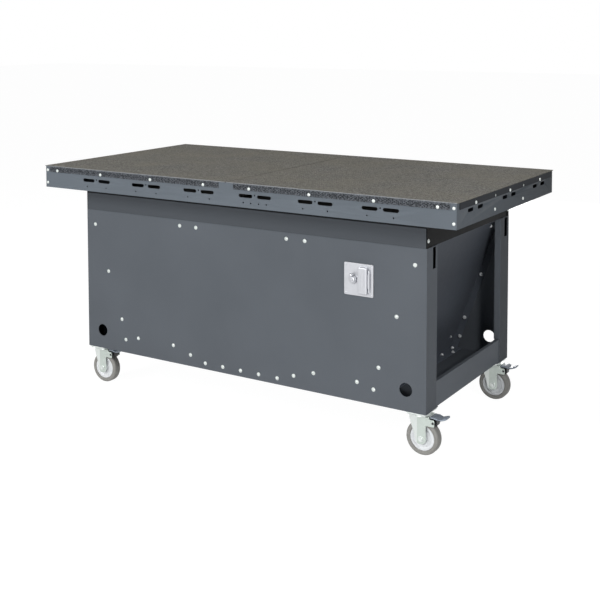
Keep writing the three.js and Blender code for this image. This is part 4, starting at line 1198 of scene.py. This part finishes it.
@dataclass
class Cabinet(Workshop):
    """The body: collar, panels, pans, hopper, and the bolts that hold them."""

    bolt: ButtonScrew = ButtonScrew(5.4 * MM, 3.0 * MM, 2.2 * MM, 7.6 * MM)
    face: float = 0.3925
    panel_bolts: tuple[Pair, ...] = (
        (0.210, 0.721), (0.290, 0.721), (0.736, 0.684), (0.666, 0.492), (0.596, 0.298), (0.576, 0.215),
        (0.509, 0.231), (0.327, 0.231), (0.241, 0.206), (0.168, 0.184), (0.084, 0.184),
    )
    middle_bolt: Pair = (0.0, 0.184)
    nut: HexNut = HexNut()
    seam: float = 0.63035
    flange_face: float = 0.3872
    bay_nuts: tuple[Pair, ...] = ((0.733, 0.683), (0.666, 0.491), (0.596, 0.3005), (0.5755, 0.218))
    foot_bolts: tuple[Pair, ...] = ((0.577, 0.313), (0.5505, 0.368), (0.553, 0.257))
    foot_top: float = 0.1680
    slope_bolts: tuple[Pair, ...] = ((0.319, 0.709), (0.330, 0.228))
    lean: float = math.radians(20)
    slope_top: Pair = (0.7445, 0.7449)
    lip_start: float = 0.765
    lip_level: float = 0.3015
    lip_reach: float = 5.5 * MM
    lip_extra: float = 0.010
    flange_less: float = 0.008
    front_slot: Pair = (-0.3305, 0.022)
    rear_slot: Pair = (0.3595, 0.028)
    post_slot_level: float = 0.7039
    post_slot_height: float = 0.076
    post_slot_span: Pair = (0.772, 0.790)
    collar_screws: Pair = (0.381, 0.771)
    body_end: float = 0.7805
    port_step: float = 0.086
    port_levels: Triple = (0.268, 0.328, 0.388)

    def build(self) -> None:
        """Softens the sheets, welds the two long ones to their posts, and adds the bolts and nuts."""
        for node in ("collar_front", "collar_rear", "collar_left", "collar_right",
                     "base_pan_left", "base_pan_right", "hopper_end_left", "hopper_end_right"):
            self.soften(node)
        for side, slot in (("front", self.front_slot), ("rear", self.rear_slot)):
            posts = ["%s_post_%s" % (side, hand) for hand in ("left", "right")]
            slots = self.post_slots(*slot)
            self.welded(side + "_panel_sheet", side + "_panel", posts, self.seam, 0.9 * MM, slots)
        self.paint("hopper_floor_left", "hopper_floor_right", "sump_pan",
                   "cross_beam_left", "cross_beam_right")
        places = [(end * x, z) for x, z in self.panel_bolts for end in ENDS] + [self.middle_bolt]
        bolts = self.bolt.row(Facing.FRONT, [(x, -self.face, z) for x, z in places])
        bolts.join(self.bolt.row(Facing.REAR, [(x, self.face, z) for x, z in places + self.port_bolts()]))
        across, level = self.collar_screws
        for facing, end in ((Facing.LEFT, LEFT), (Facing.RIGHT, RIGHT)):
            face = end * self.body_end
            bolts.join(self.bolt.row(facing, [(face, side * across, level) for side in FACES]))
        self.add(bolts, "panel_bolts", "table", "zinc")
        nuts = Surface()
        for facing, side in ((Facing.FRONT, REAR), (Facing.REAR, FRONT)):
            places = [(end * x, side * self.flange_face, z) for end in ENDS for x, z in self.bay_nuts]
            nuts.join(self.nut.row(facing, places))
        feet = [(end * x, side * y, self.foot_top)
                for end in ENDS for side in FACES for x, y in self.foot_bolts]
        nuts.join(self.nut.row(Facing.UP, feet))
        for end in ENDS:
            nuts.join(self.slope_heads(end))
        put(nuts.build("bay_nuts", self.paints["bright_zinc"]), "table", "zinc")

    def port_bolts(self) -> list[Pair]:
        """The bolts round the outlet in the rear panel: three rows of three, without the middle one."""
        steps = (-self.port_step, 0.0, self.port_step)
        places = [(x, z) for z in self.port_levels for x in steps]
        return places[:4] + places[5:]

    def outermost(self, node: str) -> bpy.types.Object:
        """A copy of a post with a narrower flange, whose lip reaches further behind it."""
        post = super().outermost(node)
        points = self.points(post)
        x, y, _ = points.T
        lip = (np.abs(x) > self.lip_start) & (np.abs(np.abs(y) - self.lip_level) < self.lip_reach)
        edge = lip & (np.abs(x) < self.lip_start + MM)
        points[:, 0] = np.where(edge, x - np.sign(x) * self.lip_extra, x)
        points[:, 1] = np.where(lip, y + np.sign(y) * self.flange_less, y)
        self.move(post, points)
        return post

    def post_slots(self, y: float, width: float) -> Surface:
        """The cutters of the slots near the top of two corner posts, at one y."""
        outline = box_outline((0.0, self.post_slot_level), width, self.post_slot_height, 3 * MM)
        cutter = lofted([outline, outline], self.post_slot_span)
        made = cutter.turned(Facing.RIGHT.value).moved((0.0, y, 0.0))
        return made.join(cutter.turned(Facing.LEFT.value).moved((0.0, y, 0.0)))

    def slope_heads(self, end: int) -> Surface:
        """The bolts on the outer face of one leaning hopper plate, square to it. The face lies at its top's
        distance less its drop times the tangent of the lean."""
        sine, cosine = math.sin(self.lean), math.cos(self.lean)
        square = [(0, end, 0), (end * sine, 0, cosine), (end * cosine, 0, -sine)]
        across, top = self.slope_top
        places = [(end * (across - (top - z) * sine / cosine), side * y, z) for side in FACES
                  for y, z in self.slope_bolts]
        return self.nut.head().turned(square).copies(places)


@dataclass
class Internals(Workshop):
    """The filters and the blower, which stay as the frame has them, and the socket with its slots."""

    socket_x: float = 0.5385
    socket_z: float = 0.6059
    face_spacing: float = 0.039
    blades: tuple[Pair, ...] = ((-6.4 * MM, 8.5 * MM), (6.4 * MM, 7.0 * MM))

    def build(self) -> None:
        """Paints them, and cuts the slots of the socket's two faces."""
        self.paint("filter_left", "filter_middle", "filter_right", "blower_base", "blower_housing",
                   "blower_duct", "impeller", "blower_motor", "electrical_box")
        high = -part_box("socket")[0][1]
        span = (high - 6 * MM, high + 2 * MM)
        slots = Surface()
        for side in ENDS:
            z = self.socket_z + side * self.face_spacing / 2
            outlines = [box_outline((self.socket_x + x, z + 4 * MM), 2.2 * MM, height, 0.3 * MM)
                        for x, height in self.blades]
            outlines.append(box_outline((self.socket_x, z - 8 * MM), 5 * MM, 5 * MM, 2.4 * MM))
            for outline in outlines:
                slots.join(lofted([outline, outline], span))
        self.soften("socket", 0.3 * MM, slots.turned(Facing.FRONT.value))


@dataclass
class SwitchCover(Workshop):
    """The cast cover with its turning switch and the lid of its socket, drawn looking at the front panel:
    across, up, and out of the panel."""

    centre: Pair = (0.517, 0.6059)
    size: float = 0.118
    back: float = 0.3928
    face: float = 0.3968
    switch_x: float = 0.4955
    socket_x: float = 0.5385
    lid_size: Pair = (0.037, 0.098)
    lid_depth: float = 14.0 * MM
    hinge: Pair = (0.5611, 0.4009)
    barrel: float = 3.8 * MM
    lid_barrel: float = 26.0 * MM
    end_barrel: float = 14.0 * MM
    screw: ButtonScrew = ButtonScrew(3.6 * MM, 1.6 * MM, 1.5 * MM)

    def upright(self, low: float, high: float, waves: int) -> Surface:
        """A barrel of the hinge, between two heights over the cover's middle, its radius rippled like a
        spring where it has waves: less 6% of itself times one minus the cosine of the turns along it."""
        share = np.linspace(0, 1, 8 * waves + 1) if waves else np.array([0.0, 1.0])
        radius = self.barrel * (1 - 0.06 * (1 - np.cos(2 * np.pi * waves * share)))
        profile = [(0.0, low), *zip(radius, low + share * (high - low)), (0.0, high)]
        return revolved(profile, 16).moved((self.hinge[0], -self.hinge[1], self.centre[1]))

    def dish(self, points: Sequence[Pair]) -> Surface:
        """A turned boss over the switch's axis from (radius, distance out of the cover's face) points."""
        made = revolved(np.array(points) + (0, self.face), 40)
        return made.moved((self.switch_x, self.centre[1], 0.0)).turned(Facing.FRONT.value)

    @staticmethod
    def slab(outline: np.ndarray, low: float, high: float, edge: float) -> Surface:
        """A cushion drawn across, up and out, stood up in its place."""
        return cushion(outline, low, high, edge).turned(Facing.FRONT.value)

    def plate(self) -> Surface:
        """The plate with its raised border, screws, boss and two sprung barrels."""
        outline = box_outline(self.centre, self.size, self.size, 5 * MM)
        made = self.slab(outline, self.back, self.face, 1.3 * MM)
        made.join(self.dish([(0.0, -MM), (17.5 * MM, -MM), (17.4 * MM, 1.2 * MM), (16.4 * MM, 2.2 * MM),
                             (15.8 * MM, 7.6 * MM), (14.6 * MM, 9.0 * MM), (0.0, 9.0 * MM)]))
        start = self.lid_barrel + 0.3 * MM
        for side in ENDS:
            low, high = sorted((side * start, side * (start + self.end_barrel)))
            made.join(self.upright(low, high, 4))
            middle = self.centre[1] + (low + high) / 2
            web = box_outline((self.hinge[0], middle), 5.6 * MM, self.end_barrel - MM, MM)
            made.join(self.slab(web, self.face - MM, self.hinge[1], 0.4 * MM))
        reach = self.size / 2 - 8 * MM
        x, z = self.centre
        places = [(x + i * reach, -self.face, z + j * reach) for i in ENDS for j in ENDS]
        return made.join(self.screw.row(Facing.FRONT, places))

    def lid(self) -> Surface:
        """The lid: an open-backed tray with a crowned face and two ridges, a thumb lip and its barrel."""
        x, z = self.socket_x, self.centre[1]
        back = self.face + 0.3 * MM
        front = back + self.lid_depth
        outline = box_outline((x, z), *self.lid_size, 5 * MM)
        wall = 2 * MM
        edge = 3.2 * MM
        turn = np.linspace(np.pi / 2, 0, 5)
        rings = [inset(outline, wall), inset(outline, wall), outline]
        heights = [front - wall, back, back]
        rings += [inset(outline, edge * (1 - math.sin(a))) for a in turn]
        heights += [front - edge + edge * math.cos(a) for a in turn]
        rings += [inset(outline, 4.9 * MM)]
        heights += [front + 0.3 * MM]
        made = lofted(rings, heights).turned(Facing.FRONT.value)
        for side in ENDS:
            ridge = box_outline((x + side * 6.5 * MM, z), 3.2 * MM, 78 * MM, 1.5 * MM)
            made.join(self.slab(ridge, front - MM, front + 1.1 * MM, 0.8 * MM))
        lip = box_outline((x - self.lid_size[0] / 2 - 0.5 * MM, z), 6 * MM, 26 * MM, 2.5 * MM)
        made.join(self.slab(lip, front - 6 * MM, front - 3 * MM, 1.2 * MM))
        made.join(self.upright(-self.lid_barrel, self.lid_barrel, 0))
        web = box_outline((self.hinge[0] - 2.6 * MM, z), 5.4 * MM, 2 * self.lid_barrel - MM, 0.5 * MM)
        return made.join(self.slab(web, self.hinge[1], self.hinge[1] + self.barrel - 0.1 * MM, 0.4 * MM))

    def lever(self) -> Surface:
        """The switch's lever: a low hub with a tapered arm that points up and ends in a knob."""
        out = 9.3 * MM
        made = self.dish([(0.0, out), (12 * MM, out), (12 * MM, out + 2.0 * MM), (11.2 * MM, out + 3.4 * MM),
                          (9.2 * MM, out + 4.2 * MM), (5.0 * MM, out + 4.5 * MM), (0.0, out + 4.6 * MM)])
        knob = [(0.0, out + 3 * MM), (4.6 * MM, out + 3 * MM), (6.2 * MM, out + 5.5 * MM),
                (6.2 * MM, out + 8.5 * MM), (4.6 * MM, out + 11 * MM), (2.4 * MM, out + 12 * MM),
                (0.0, out + 12.2 * MM)]
        made.join(self.dish(knob).moved((0.0, 0.0, 17.5 * MM)))
        arm = rounded([(-5 * MM, -4 * MM, 2 * MM), (5 * MM, -4 * MM, 2 * MM), (3.2 * MM, 25 * MM, 2.6 * MM),
                       (-3.2 * MM, 25 * MM, 2.6 * MM)]) + np.array((self.switch_x, self.centre[1]))
        start = self.face + out
        return made.join(self.slab(arm, start + 2.6 * MM, start + 7.5 * MM, 2.2 * MM))

    def build(self) -> None:
        """The plate, the lid and the lever, each on its body."""
        self.add(self.plate(), "cover_casting", "table", "cover_metal", "cover_plate", even=True)
        self.add(self.lid(), "lid_casting", "socket_lid", "cover_metal", "socket_lid", even=True)
        self.add(self.lever(), "lever_casting", "switch_lever", "cover_metal", "switch_lever", even=True)


@dataclass
class Caster(Workshop):
    """A braked swivel caster, drawn in millimetres about its swivel axis. Its wheel trails to the right."""

    corner: str
    wheel_radius: float = 62.5
    trail: float = 10.0
    rim_radius: float = 45.7
    half_width: float = 18.0
    leg_inside: float = 24.2
    leg_outside: float = 26.8
    crease: float = -5.0
    crease_angle: float = math.radians(12)
    crown: Pair = (141.9, 145.9)
    crown_reach: float = 39.5
    plate_levels: Pair = (155.7, 159.7)
    plate_size: Pair = (80.0, 104.0)
    race_radius: float = 33.0
    shoe_angles: Pair = (44.0, 55.0)
    shoe_back: float = 64.0
    shoe_top: float = 143.0
    shoe_half: float = 12.0
    shoe_gap: float = 5.0
    shoe_depth: float = 9.0
    pin: Pair = (55.0, 126.0)
    pedal_line: tuple[Pair, ...] = ((42.0, 140.5), (60.0, 140.5), (75.0, 135.0), (104.0, 144.5))
    pedal_thickness: float = 6.0
    pedal_half: float = 23.0
    tip_corner: float = 12.0
    ribs: tuple[float, ...] = (15.0, 19.0, 23.0, 27.0)
    steps: int = 64

    def named(self, piece: str) -> str:
        """The name of one of this caster's nodes, bodies or pieces."""
        return "caster_%s_%s" % (self.corner, piece)

    def placed(self, shape: Surface) -> Surface:
        """A shape in millimetres about the swivel axis, moved to its place under the caster's plate."""
        low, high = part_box("caster_%s_plate" % self.corner)
        size = Surface(shape.vertices * MM, list(shape.faces))
        return size.moved(((low[0] + high[0]) / 2, (low[1] + high[1]) / 2, 0.0))

    def sideways(self, shape: Surface) -> Surface:
        """A shape drawn seen from the front (across, up, towards the front), stood up in its place."""
        return self.placed(shape.turned(Facing.FRONT.value))

    def wheel(self, profile: Points, steps: int, flutes: np.ndarray | None = None) -> Surface:
        """A profile turned about the wheel's axle."""
        made = revolved(profile, steps, flutes)
        return self.sideways(made.moved((self.trail, self.wheel_radius, 0.0)))

    def ring(self, section: Points) -> Surface:
        """A closed ring about the axle from one half of its section, (radius, level) from the inside out."""
        half = np.array(section)
        return self.wheel(np.vstack([half, half[::-1] * (1, -1), half[:1]]), self.steps)

    def tyre(self) -> Surface:
        """The tyre: a flat tread with rounded shoulders and a small step where it meets the rim."""
        shoulder = 8.0
        inner, outer, half = self.rim_radius + 0.3, self.wheel_radius, self.half_width
        turn = np.radians(np.linspace(0, 90, 7))
        arc = (outer - shoulder, half - shoulder) + shoulder * np.stack([np.sin(turn), np.cos(turn)], -1)
        wall = [(inner, half - 2.5), (inner + 2, half - 0.6), (outer - shoulder - 3, half)]
        return self.ring(np.vstack([wall, arc]))

    def disc(self) -> Surface:
        """The wheel centre: a dished disc between the hub and the rim."""
        rim = self.rim_radius
        return self.ring([
            (5.3, 22.5), (11.5, 22.5), (12.5, 21.9), (13.0, 20.5), (14.0, 14.6),
            (15.2, 12.8), (22.0, 12.0), (30.0, 12.2), (34.0, 12.8), (36.0, 14.2),
            (37.0, 15.2), (42.5, 15.6), (rim - 0.6, 15.2), (rim, 14.4),
        ])

    def leg(self) -> np.ndarray:
        """The outline of a fork leg with its brake bracket: every corner (x, z) has its own bend radius."""
        return rounded([
            (-self.crown_reach, 145.9, 1.5), (-self.crown_reach, 129.0, 12.0), (-19.0, 78.0, 40.0),
            (-10.0, 42.5, 19.0), (30.0, 42.5, 19.0), (28.0, 112.0, 4.5), (60.5, 112.0, 4.0),
            (60.5, 137.0, 6.0), (43.0, 137.0, 5.0), (self.crown_reach, 145.9, 1.5),
        ], 8)

    def legs(self) -> bpy.types.Object:
        """The two pressed legs, each bent inwards along an upright crease. Right of the crease the flat part
        takes a darker copy of the zinc, painted shade, so they are brighter behind it.
        """
        made = Surface()
        for low, high in ((self.leg_inside, self.leg_outside), (-self.leg_outside, -self.leg_inside)):
            made.join(self.sideways(cushion(self.leg(), low, high, 0.9)))
        piece = made.build(self.named("fork_legs"), self.paints["zinc"], even=True)
        crease = self.placed(Surface(np.array([(self.crease, 0.0, 0.0)]), [])).vertices[0]
        body = bmesh.new()
        body.from_mesh(piece.data)
        everything = body.verts[:] + body.edges[:] + body.faces[:]
        bmesh.ops.bisect_plane(body, geom=everything, plane_co=crease, plane_no=(1, 0, 0))
        bmesh.ops.triangulate(body, faces=[face for face in body.faces if len(face.verts) > 4])
        sine, cosine = math.sin(self.crease_angle), math.cos(self.crease_angle)
        for point in body.verts:
            past = crease[0] - point.co.x
            if past > 0:
                inwards = math.copysign(past * sine, crease[1] - point.co.y)
                point.co = (crease[0] - past * cosine, point.co.y + inwards, point.co.z)
        # Painted shade: faces right of the crease take the darker copy of the zinc.
        piece.data.materials.append(self.paints["shaded_zinc"])
        for face in body.faces:
            face.material_index = int(face.calc_center_median().x > crease[0])
        body.to_mesh(piece.data)
        body.free()
        piece.data.shade_smooth()
        piece.data.set_sharp_from_angle(angle=self.crease_angle / 2)
        return piece

    def race(self, section: list[Pair]) -> Surface:
        """A part of the ball race, turned about the swivel axis."""
        return self.placed(revolved(section, 40))

    def fork(self) -> Surface:
        """The fork's crown with its ball race, and the axle's bolt head and nut."""
        far, out = self.crown_reach, self.leg_outside
        narrow = out - (self.crease + far) * math.sin(self.crease_angle)
        crown = rounded([(-far, -narrow, 3.0), (self.crease, -out, 6.0), (far, -out, 3.0),
                         (far, out, 3.0), (self.crease, out, 6.0), (-far, narrow, 3.0)])
        made = self.placed(cushion(crown, *self.crown, 1.2))
        radius, top = self.race_radius, self.crown[1]
        made.join(self.race([
            (20.0, top - 2), (20.0, top + 3.4), (20.6, top + 4), (29.0, top + 4), (31.6, top + 3.2),
            (radius, top + 1.6), (radius + 1.2, top - 1.0), (radius + 1.2, top - 3.0), (20.0, top - 2),
        ]))
        head = [(0.0, out - 1), (11.0, out - 1), (11.0, out + 1.0), (10.6, out + 1.4), (8.0, out + 1.4),
                (8.0, out + 5.4), (6.8, out + 6.2), (0.0, out + 6.2)]
        steps = 24
        for side in FACES:
            made.join(self.wheel(np.array(head) * (1, side), steps, hexagon(len(head), steps, slice(4, 6))))
        return made.join(self.wheel([(0.0, -out), (5.0, -out), (5.0, out), (0.0, out)], 16))

    def plate(self) -> Surface:
        """The plate with its race, the kingpin's nut and the four bolts that hold it."""
        low, high = self.plate_levels
        made = self.placed(cushion(box_outline((0.0, 0.0), *self.plate_size, 9.0), low, high, 1.0))
        radius = self.race_radius
        made.join(self.race([
            (0.0, low + 1), (radius + 1.5, low + 1), (radius + 1.5, low - 3.5), (radius, low - 5.0),
            (radius - 1.5, low - 5.5), (8.0, low - 5.5), (8.0, 141.0), (0.0, 141.0),
        ]))
        nut = HexNut(12.4, 5.0, 13.0, 6.0, 1.5, 0.0)
        made.join(self.placed(nut.row(Facing.DOWN, [(0.0, 0.0, 141.6)])))
        bolt = HexNut(6.4, 4.6, 8.0, 0.0)
        places = [(i * 30.0, j * 42.0, low) for i in ENDS for j in FACES]
        return made.join(self.placed(bolt.row(Facing.DOWN, places)))

    def brake(self) -> Surface:
        """The brake: the pedal's bent strip, whose tip has round corners, its grip ribs, the shoe and the
        pivot pin. The tip's corners come from moving the strip's end back by r - sqrt(r r - d d), where d is
        how far a section lies past the start of the corner's arc."""
        strip = rounded([(x, z, 2.6) for x, z in folded(self.pedal_line, self.pedal_thickness)])
        half, corner = self.pedal_half, self.tip_corner
        sections = ((0.0, 1.4), (0.4, 0.5), (1.2, 0.1), (3.0, 0.0), (6.0, 0.0), (9.0, 0.0), (13.0, 0.0))
        levels = np.array([half - less for less, _ in sections])
        knee, tip = (np.array(point) for point in self.pedal_line[2:])
        length = np.linalg.norm(tip - knee)
        run = (tip - knee) / length
        rings = []
        for level, (_, distance) in zip(levels, sections):
            ring = inset(strip, distance)
            past = max(0.0, level - (half - corner))
            back = corner - math.sqrt(max(0.0, corner ** 2 - past ** 2))
            share = np.clip((ring - knee) @ run / length, 0, 1)[:, None]
            rings.append(ring - run * share * back)
        made = self.sideways(lofted(rings + rings[::-1], np.concatenate([-levels, levels[::-1]])))
        top = self.pedal_thickness
        rib = cushion(box_outline((0.0, 0.0), 2.0, 28.0, 0.9), top - 0.5, top + 0.9, 0.6)
        lean = [(run[0], 0, run[1]), (0, 1, 0), (-run[1], 0, run[0])]
        feet = [knee + run * reach for reach in self.ribs]
        made.join(self.placed(rib.turned(lean).copies([(x, 0.0, z) for x, z in feet])))
        made.join(self.sideways(cushion(self.shoe(), -self.shoe_half, self.shoe_half, 1.6)))
        end = self.leg_outside
        rivet = [(0.0, -end), (3.0, -end), (3.0, end), (4.6, end), (4.4, end + 1.0), (2.6, end + 2.0),
                 (0.0, end + 2.2)]
        pin = revolved(rivet, 16).join(revolved(np.array(rivet[3:]) * (1, -1), 16))
        return made.join(self.sideways(pin.moved((*self.pin, 0.0))))

    def shoe(self) -> np.ndarray:
        """The shoe's outline: its hollow follows the tyre at a gap, and its back rises to the pedal."""
        axle = np.array([self.trail, self.wheel_radius])
        reach = self.wheel_radius + self.shoe_gap
        turn = np.radians(np.linspace(*self.shoe_angles[::-1], 7))
        way = np.stack([np.cos(turn), np.sin(turn)], -1)
        corner = axle + (reach + self.shoe_depth) * way[-1]
        left, top = self.pin[0] - 6.0, self.shoe_top
        back = [(self.shoe_back, 138.0), (self.pedal_line[1][0], top), (left, top), (left, self.pin[1])]
        return np.vstack([axle + reach * way, corner, back])

    def build(self) -> None:
        """The whole caster."""
        wheel, fork, brake = (self.named(body) for body in ("wheel", "fork", "brake"))
        self.add(self.tyre(), self.named("tyre_ring"), wheel, "tyre", self.named("tyre"))
        self.add(self.disc(), self.named("wheel_disc"), wheel, "white_moulding", self.named("wheel_centre"))
        self.add(self.plate(), self.named("top_plate"), "table", "zinc", self.named("plate"), even=True)
        self.add(self.fork(), self.named("fork_crown"), fork, "zinc", fork, even=True)
        put(self.legs(), fork, "zinc")
        self.add(self.brake(), self.named("brake_pedal"), brake, "pedal_moulding", brake, even=True)


def stand(name: str, data: bpy.types.ID, axes: Sequence[np.ndarray], place: Triple) -> bpy.types.Object:
    """Links a camera or a lamp, which look back along their third axis.

    Args:
        name: The object's name.
        data: The camera or the lamp.
        axes: Its own three axes.
        place: Where it stands.

    Returns:
        The object.
    """
    rows = np.eye(4)
    rows[:3, :3] = np.column_stack(axes)
    rows[:3, 3] = place
    made = bpy.data.objects.new(name, data)
    made.matrix_world = Matrix(rows.tolist())
    bpy.context.scene.collection.objects.link(made)
    return made


@dataclass(frozen=True)
class Lamp:
    """A square area lamp that faces the table's middle."""

    name: str
    place: Triple
    size: float
    power: float
    target: Triple = (0.0, 0.0, 0.55)

    def build(self) -> None:
        """Adds the lamp."""
        data = bpy.data.lights.new(self.name, "AREA")
        data.size = self.size
        data.energy = self.power
        away = np.array(self.place) - np.array(self.target)
        away = away / np.linalg.norm(away)
        across = np.cross([0, 0, 1.0], away)
        across = across / np.linalg.norm(across)
        stand(self.name, data, (across, np.cross(away, across), away), self.place)


@dataclass
class Studio:
    """The floor, the light and the camera."""

    eye: Triple = (2.32072, -3.76257, 1.50898)
    yaw: float = -0.5766149
    pitch: float = 0.0667153
    roll: float = -0.0033326
    focal_pixels: float = 1079.1283
    centre: Pair = (267.5597, 98.9061)
    frame_pixels: float = 600.0
    sensor: float = 36.0
    clip: Pair = (0.05, 100.0)
    floor_reach: float = 30.0
    floor_tone: float = 0.86
    floor_glow: float = 1.13
    floor_share: float = 0.86
    sky_colour: Triple = (0.95, 0.97, 1.0)
    sky_light: float = 0.1
    lamps: tuple[Lamp, ...] = (
        Lamp("key", (-2.0, -4.4, 3.2), 1.6, 95.0),
        Lamp("side", (2.65, -1.33, 1.70), 0.35, 22.0),
        Lamp("front", (0.4, -5.4, 1.3), 2.0, 108.0),
        Lamp("above", (-1.3, -0.8, 4.6), 1.8, 40.0),
        Lamp("back", (-1.2, 5.2, 0.65), 1.0, 90.0),
    )

    def camera(self) -> None:
        """The camera at the photograph's angle: its axes come from the yaw, the pitch down and the roll, and
        its shift from the place of the view's centre in the frame."""
        cy, sy = math.cos(self.yaw), math.sin(self.yaw)
        cp, sp = math.cos(self.pitch), math.sin(self.pitch)
        cr, sr = math.cos(self.roll), math.sin(self.roll)
        forward = np.array([sy * cp, cy * cp, -sp])
        level = np.array([cy, -sy, 0.0])
        upright = np.cross(level, forward)
        data = bpy.data.cameras.new("view")
        data.sensor_width = self.sensor
        data.lens = self.focal_pixels / self.frame_pixels * self.sensor
        data.shift_x = 0.5 - self.centre[0] / self.frame_pixels
        data.shift_y = self.centre[1] / self.frame_pixels - 0.5
        data.clip_start, data.clip_end = self.clip
        axes = (level * cr + upright * sr, upright * cr - level * sr, -forward)
        bpy.context.scene.camera = stand("view", data, axes, self.eye)

    def floor(self) -> None:
        """A plain pale floor that keeps the shadow."""
        reach = self.floor_reach
        corners = np.array([(-reach, -reach, 0), (reach, -reach, 0), (reach, reach, 0), (-reach, reach, 0)])
        ground = Shader("floor_paint")
        plain = ground.node("BsdfDiffuse", Color=(self.floor_tone,) * 3)
        glow = ground.node("Emission", Color=(1.0, 1.0, 1.0), Strength=self.floor_glow)
        paint = ground.seen(plain, glow, self.floor_share)
        made = Surface().add(corners, np.array([(0, 1, 2, 3)])).build("floor", paint)

    def world(self) -> None:
        """Soft light from all round, and white behind the object."""
        sky = Shader("studio", world=True)
        light = sky.node("Background", Color=self.sky_colour, Strength=self.sky_light)
        white = sky.node("Background", Color=(1.0, 1.0, 1.0), Strength=1.0)
        bpy.context.scene.world = sky.seen(light, white, 1.0)

    def build(self) -> None:
        """The camera, the floor, the sky and the lamps."""
        self.camera()
        self.floor()
        self.world()
        for lamp in self.lamps:
            lamp.build()
        bpy.context.scene.view_settings.view_transform = "Standard"


def main() -> None:
    """Builds the studio and every sub-assembly."""
    logging.basicConfig(level=logging.INFO, format="%(name)s %(message)s")
    Studio().build()
    paints = Paintbox()
    WorkTop(paints).build()
    Rim(paints).build()
    Cabinet(paints).build()
    Internals(paints).build()
    SwitchCover(paints).build()
    for corner in CORNERS:
        Caster(paints, corner).build()


if __name__ == "__main__":
    main()
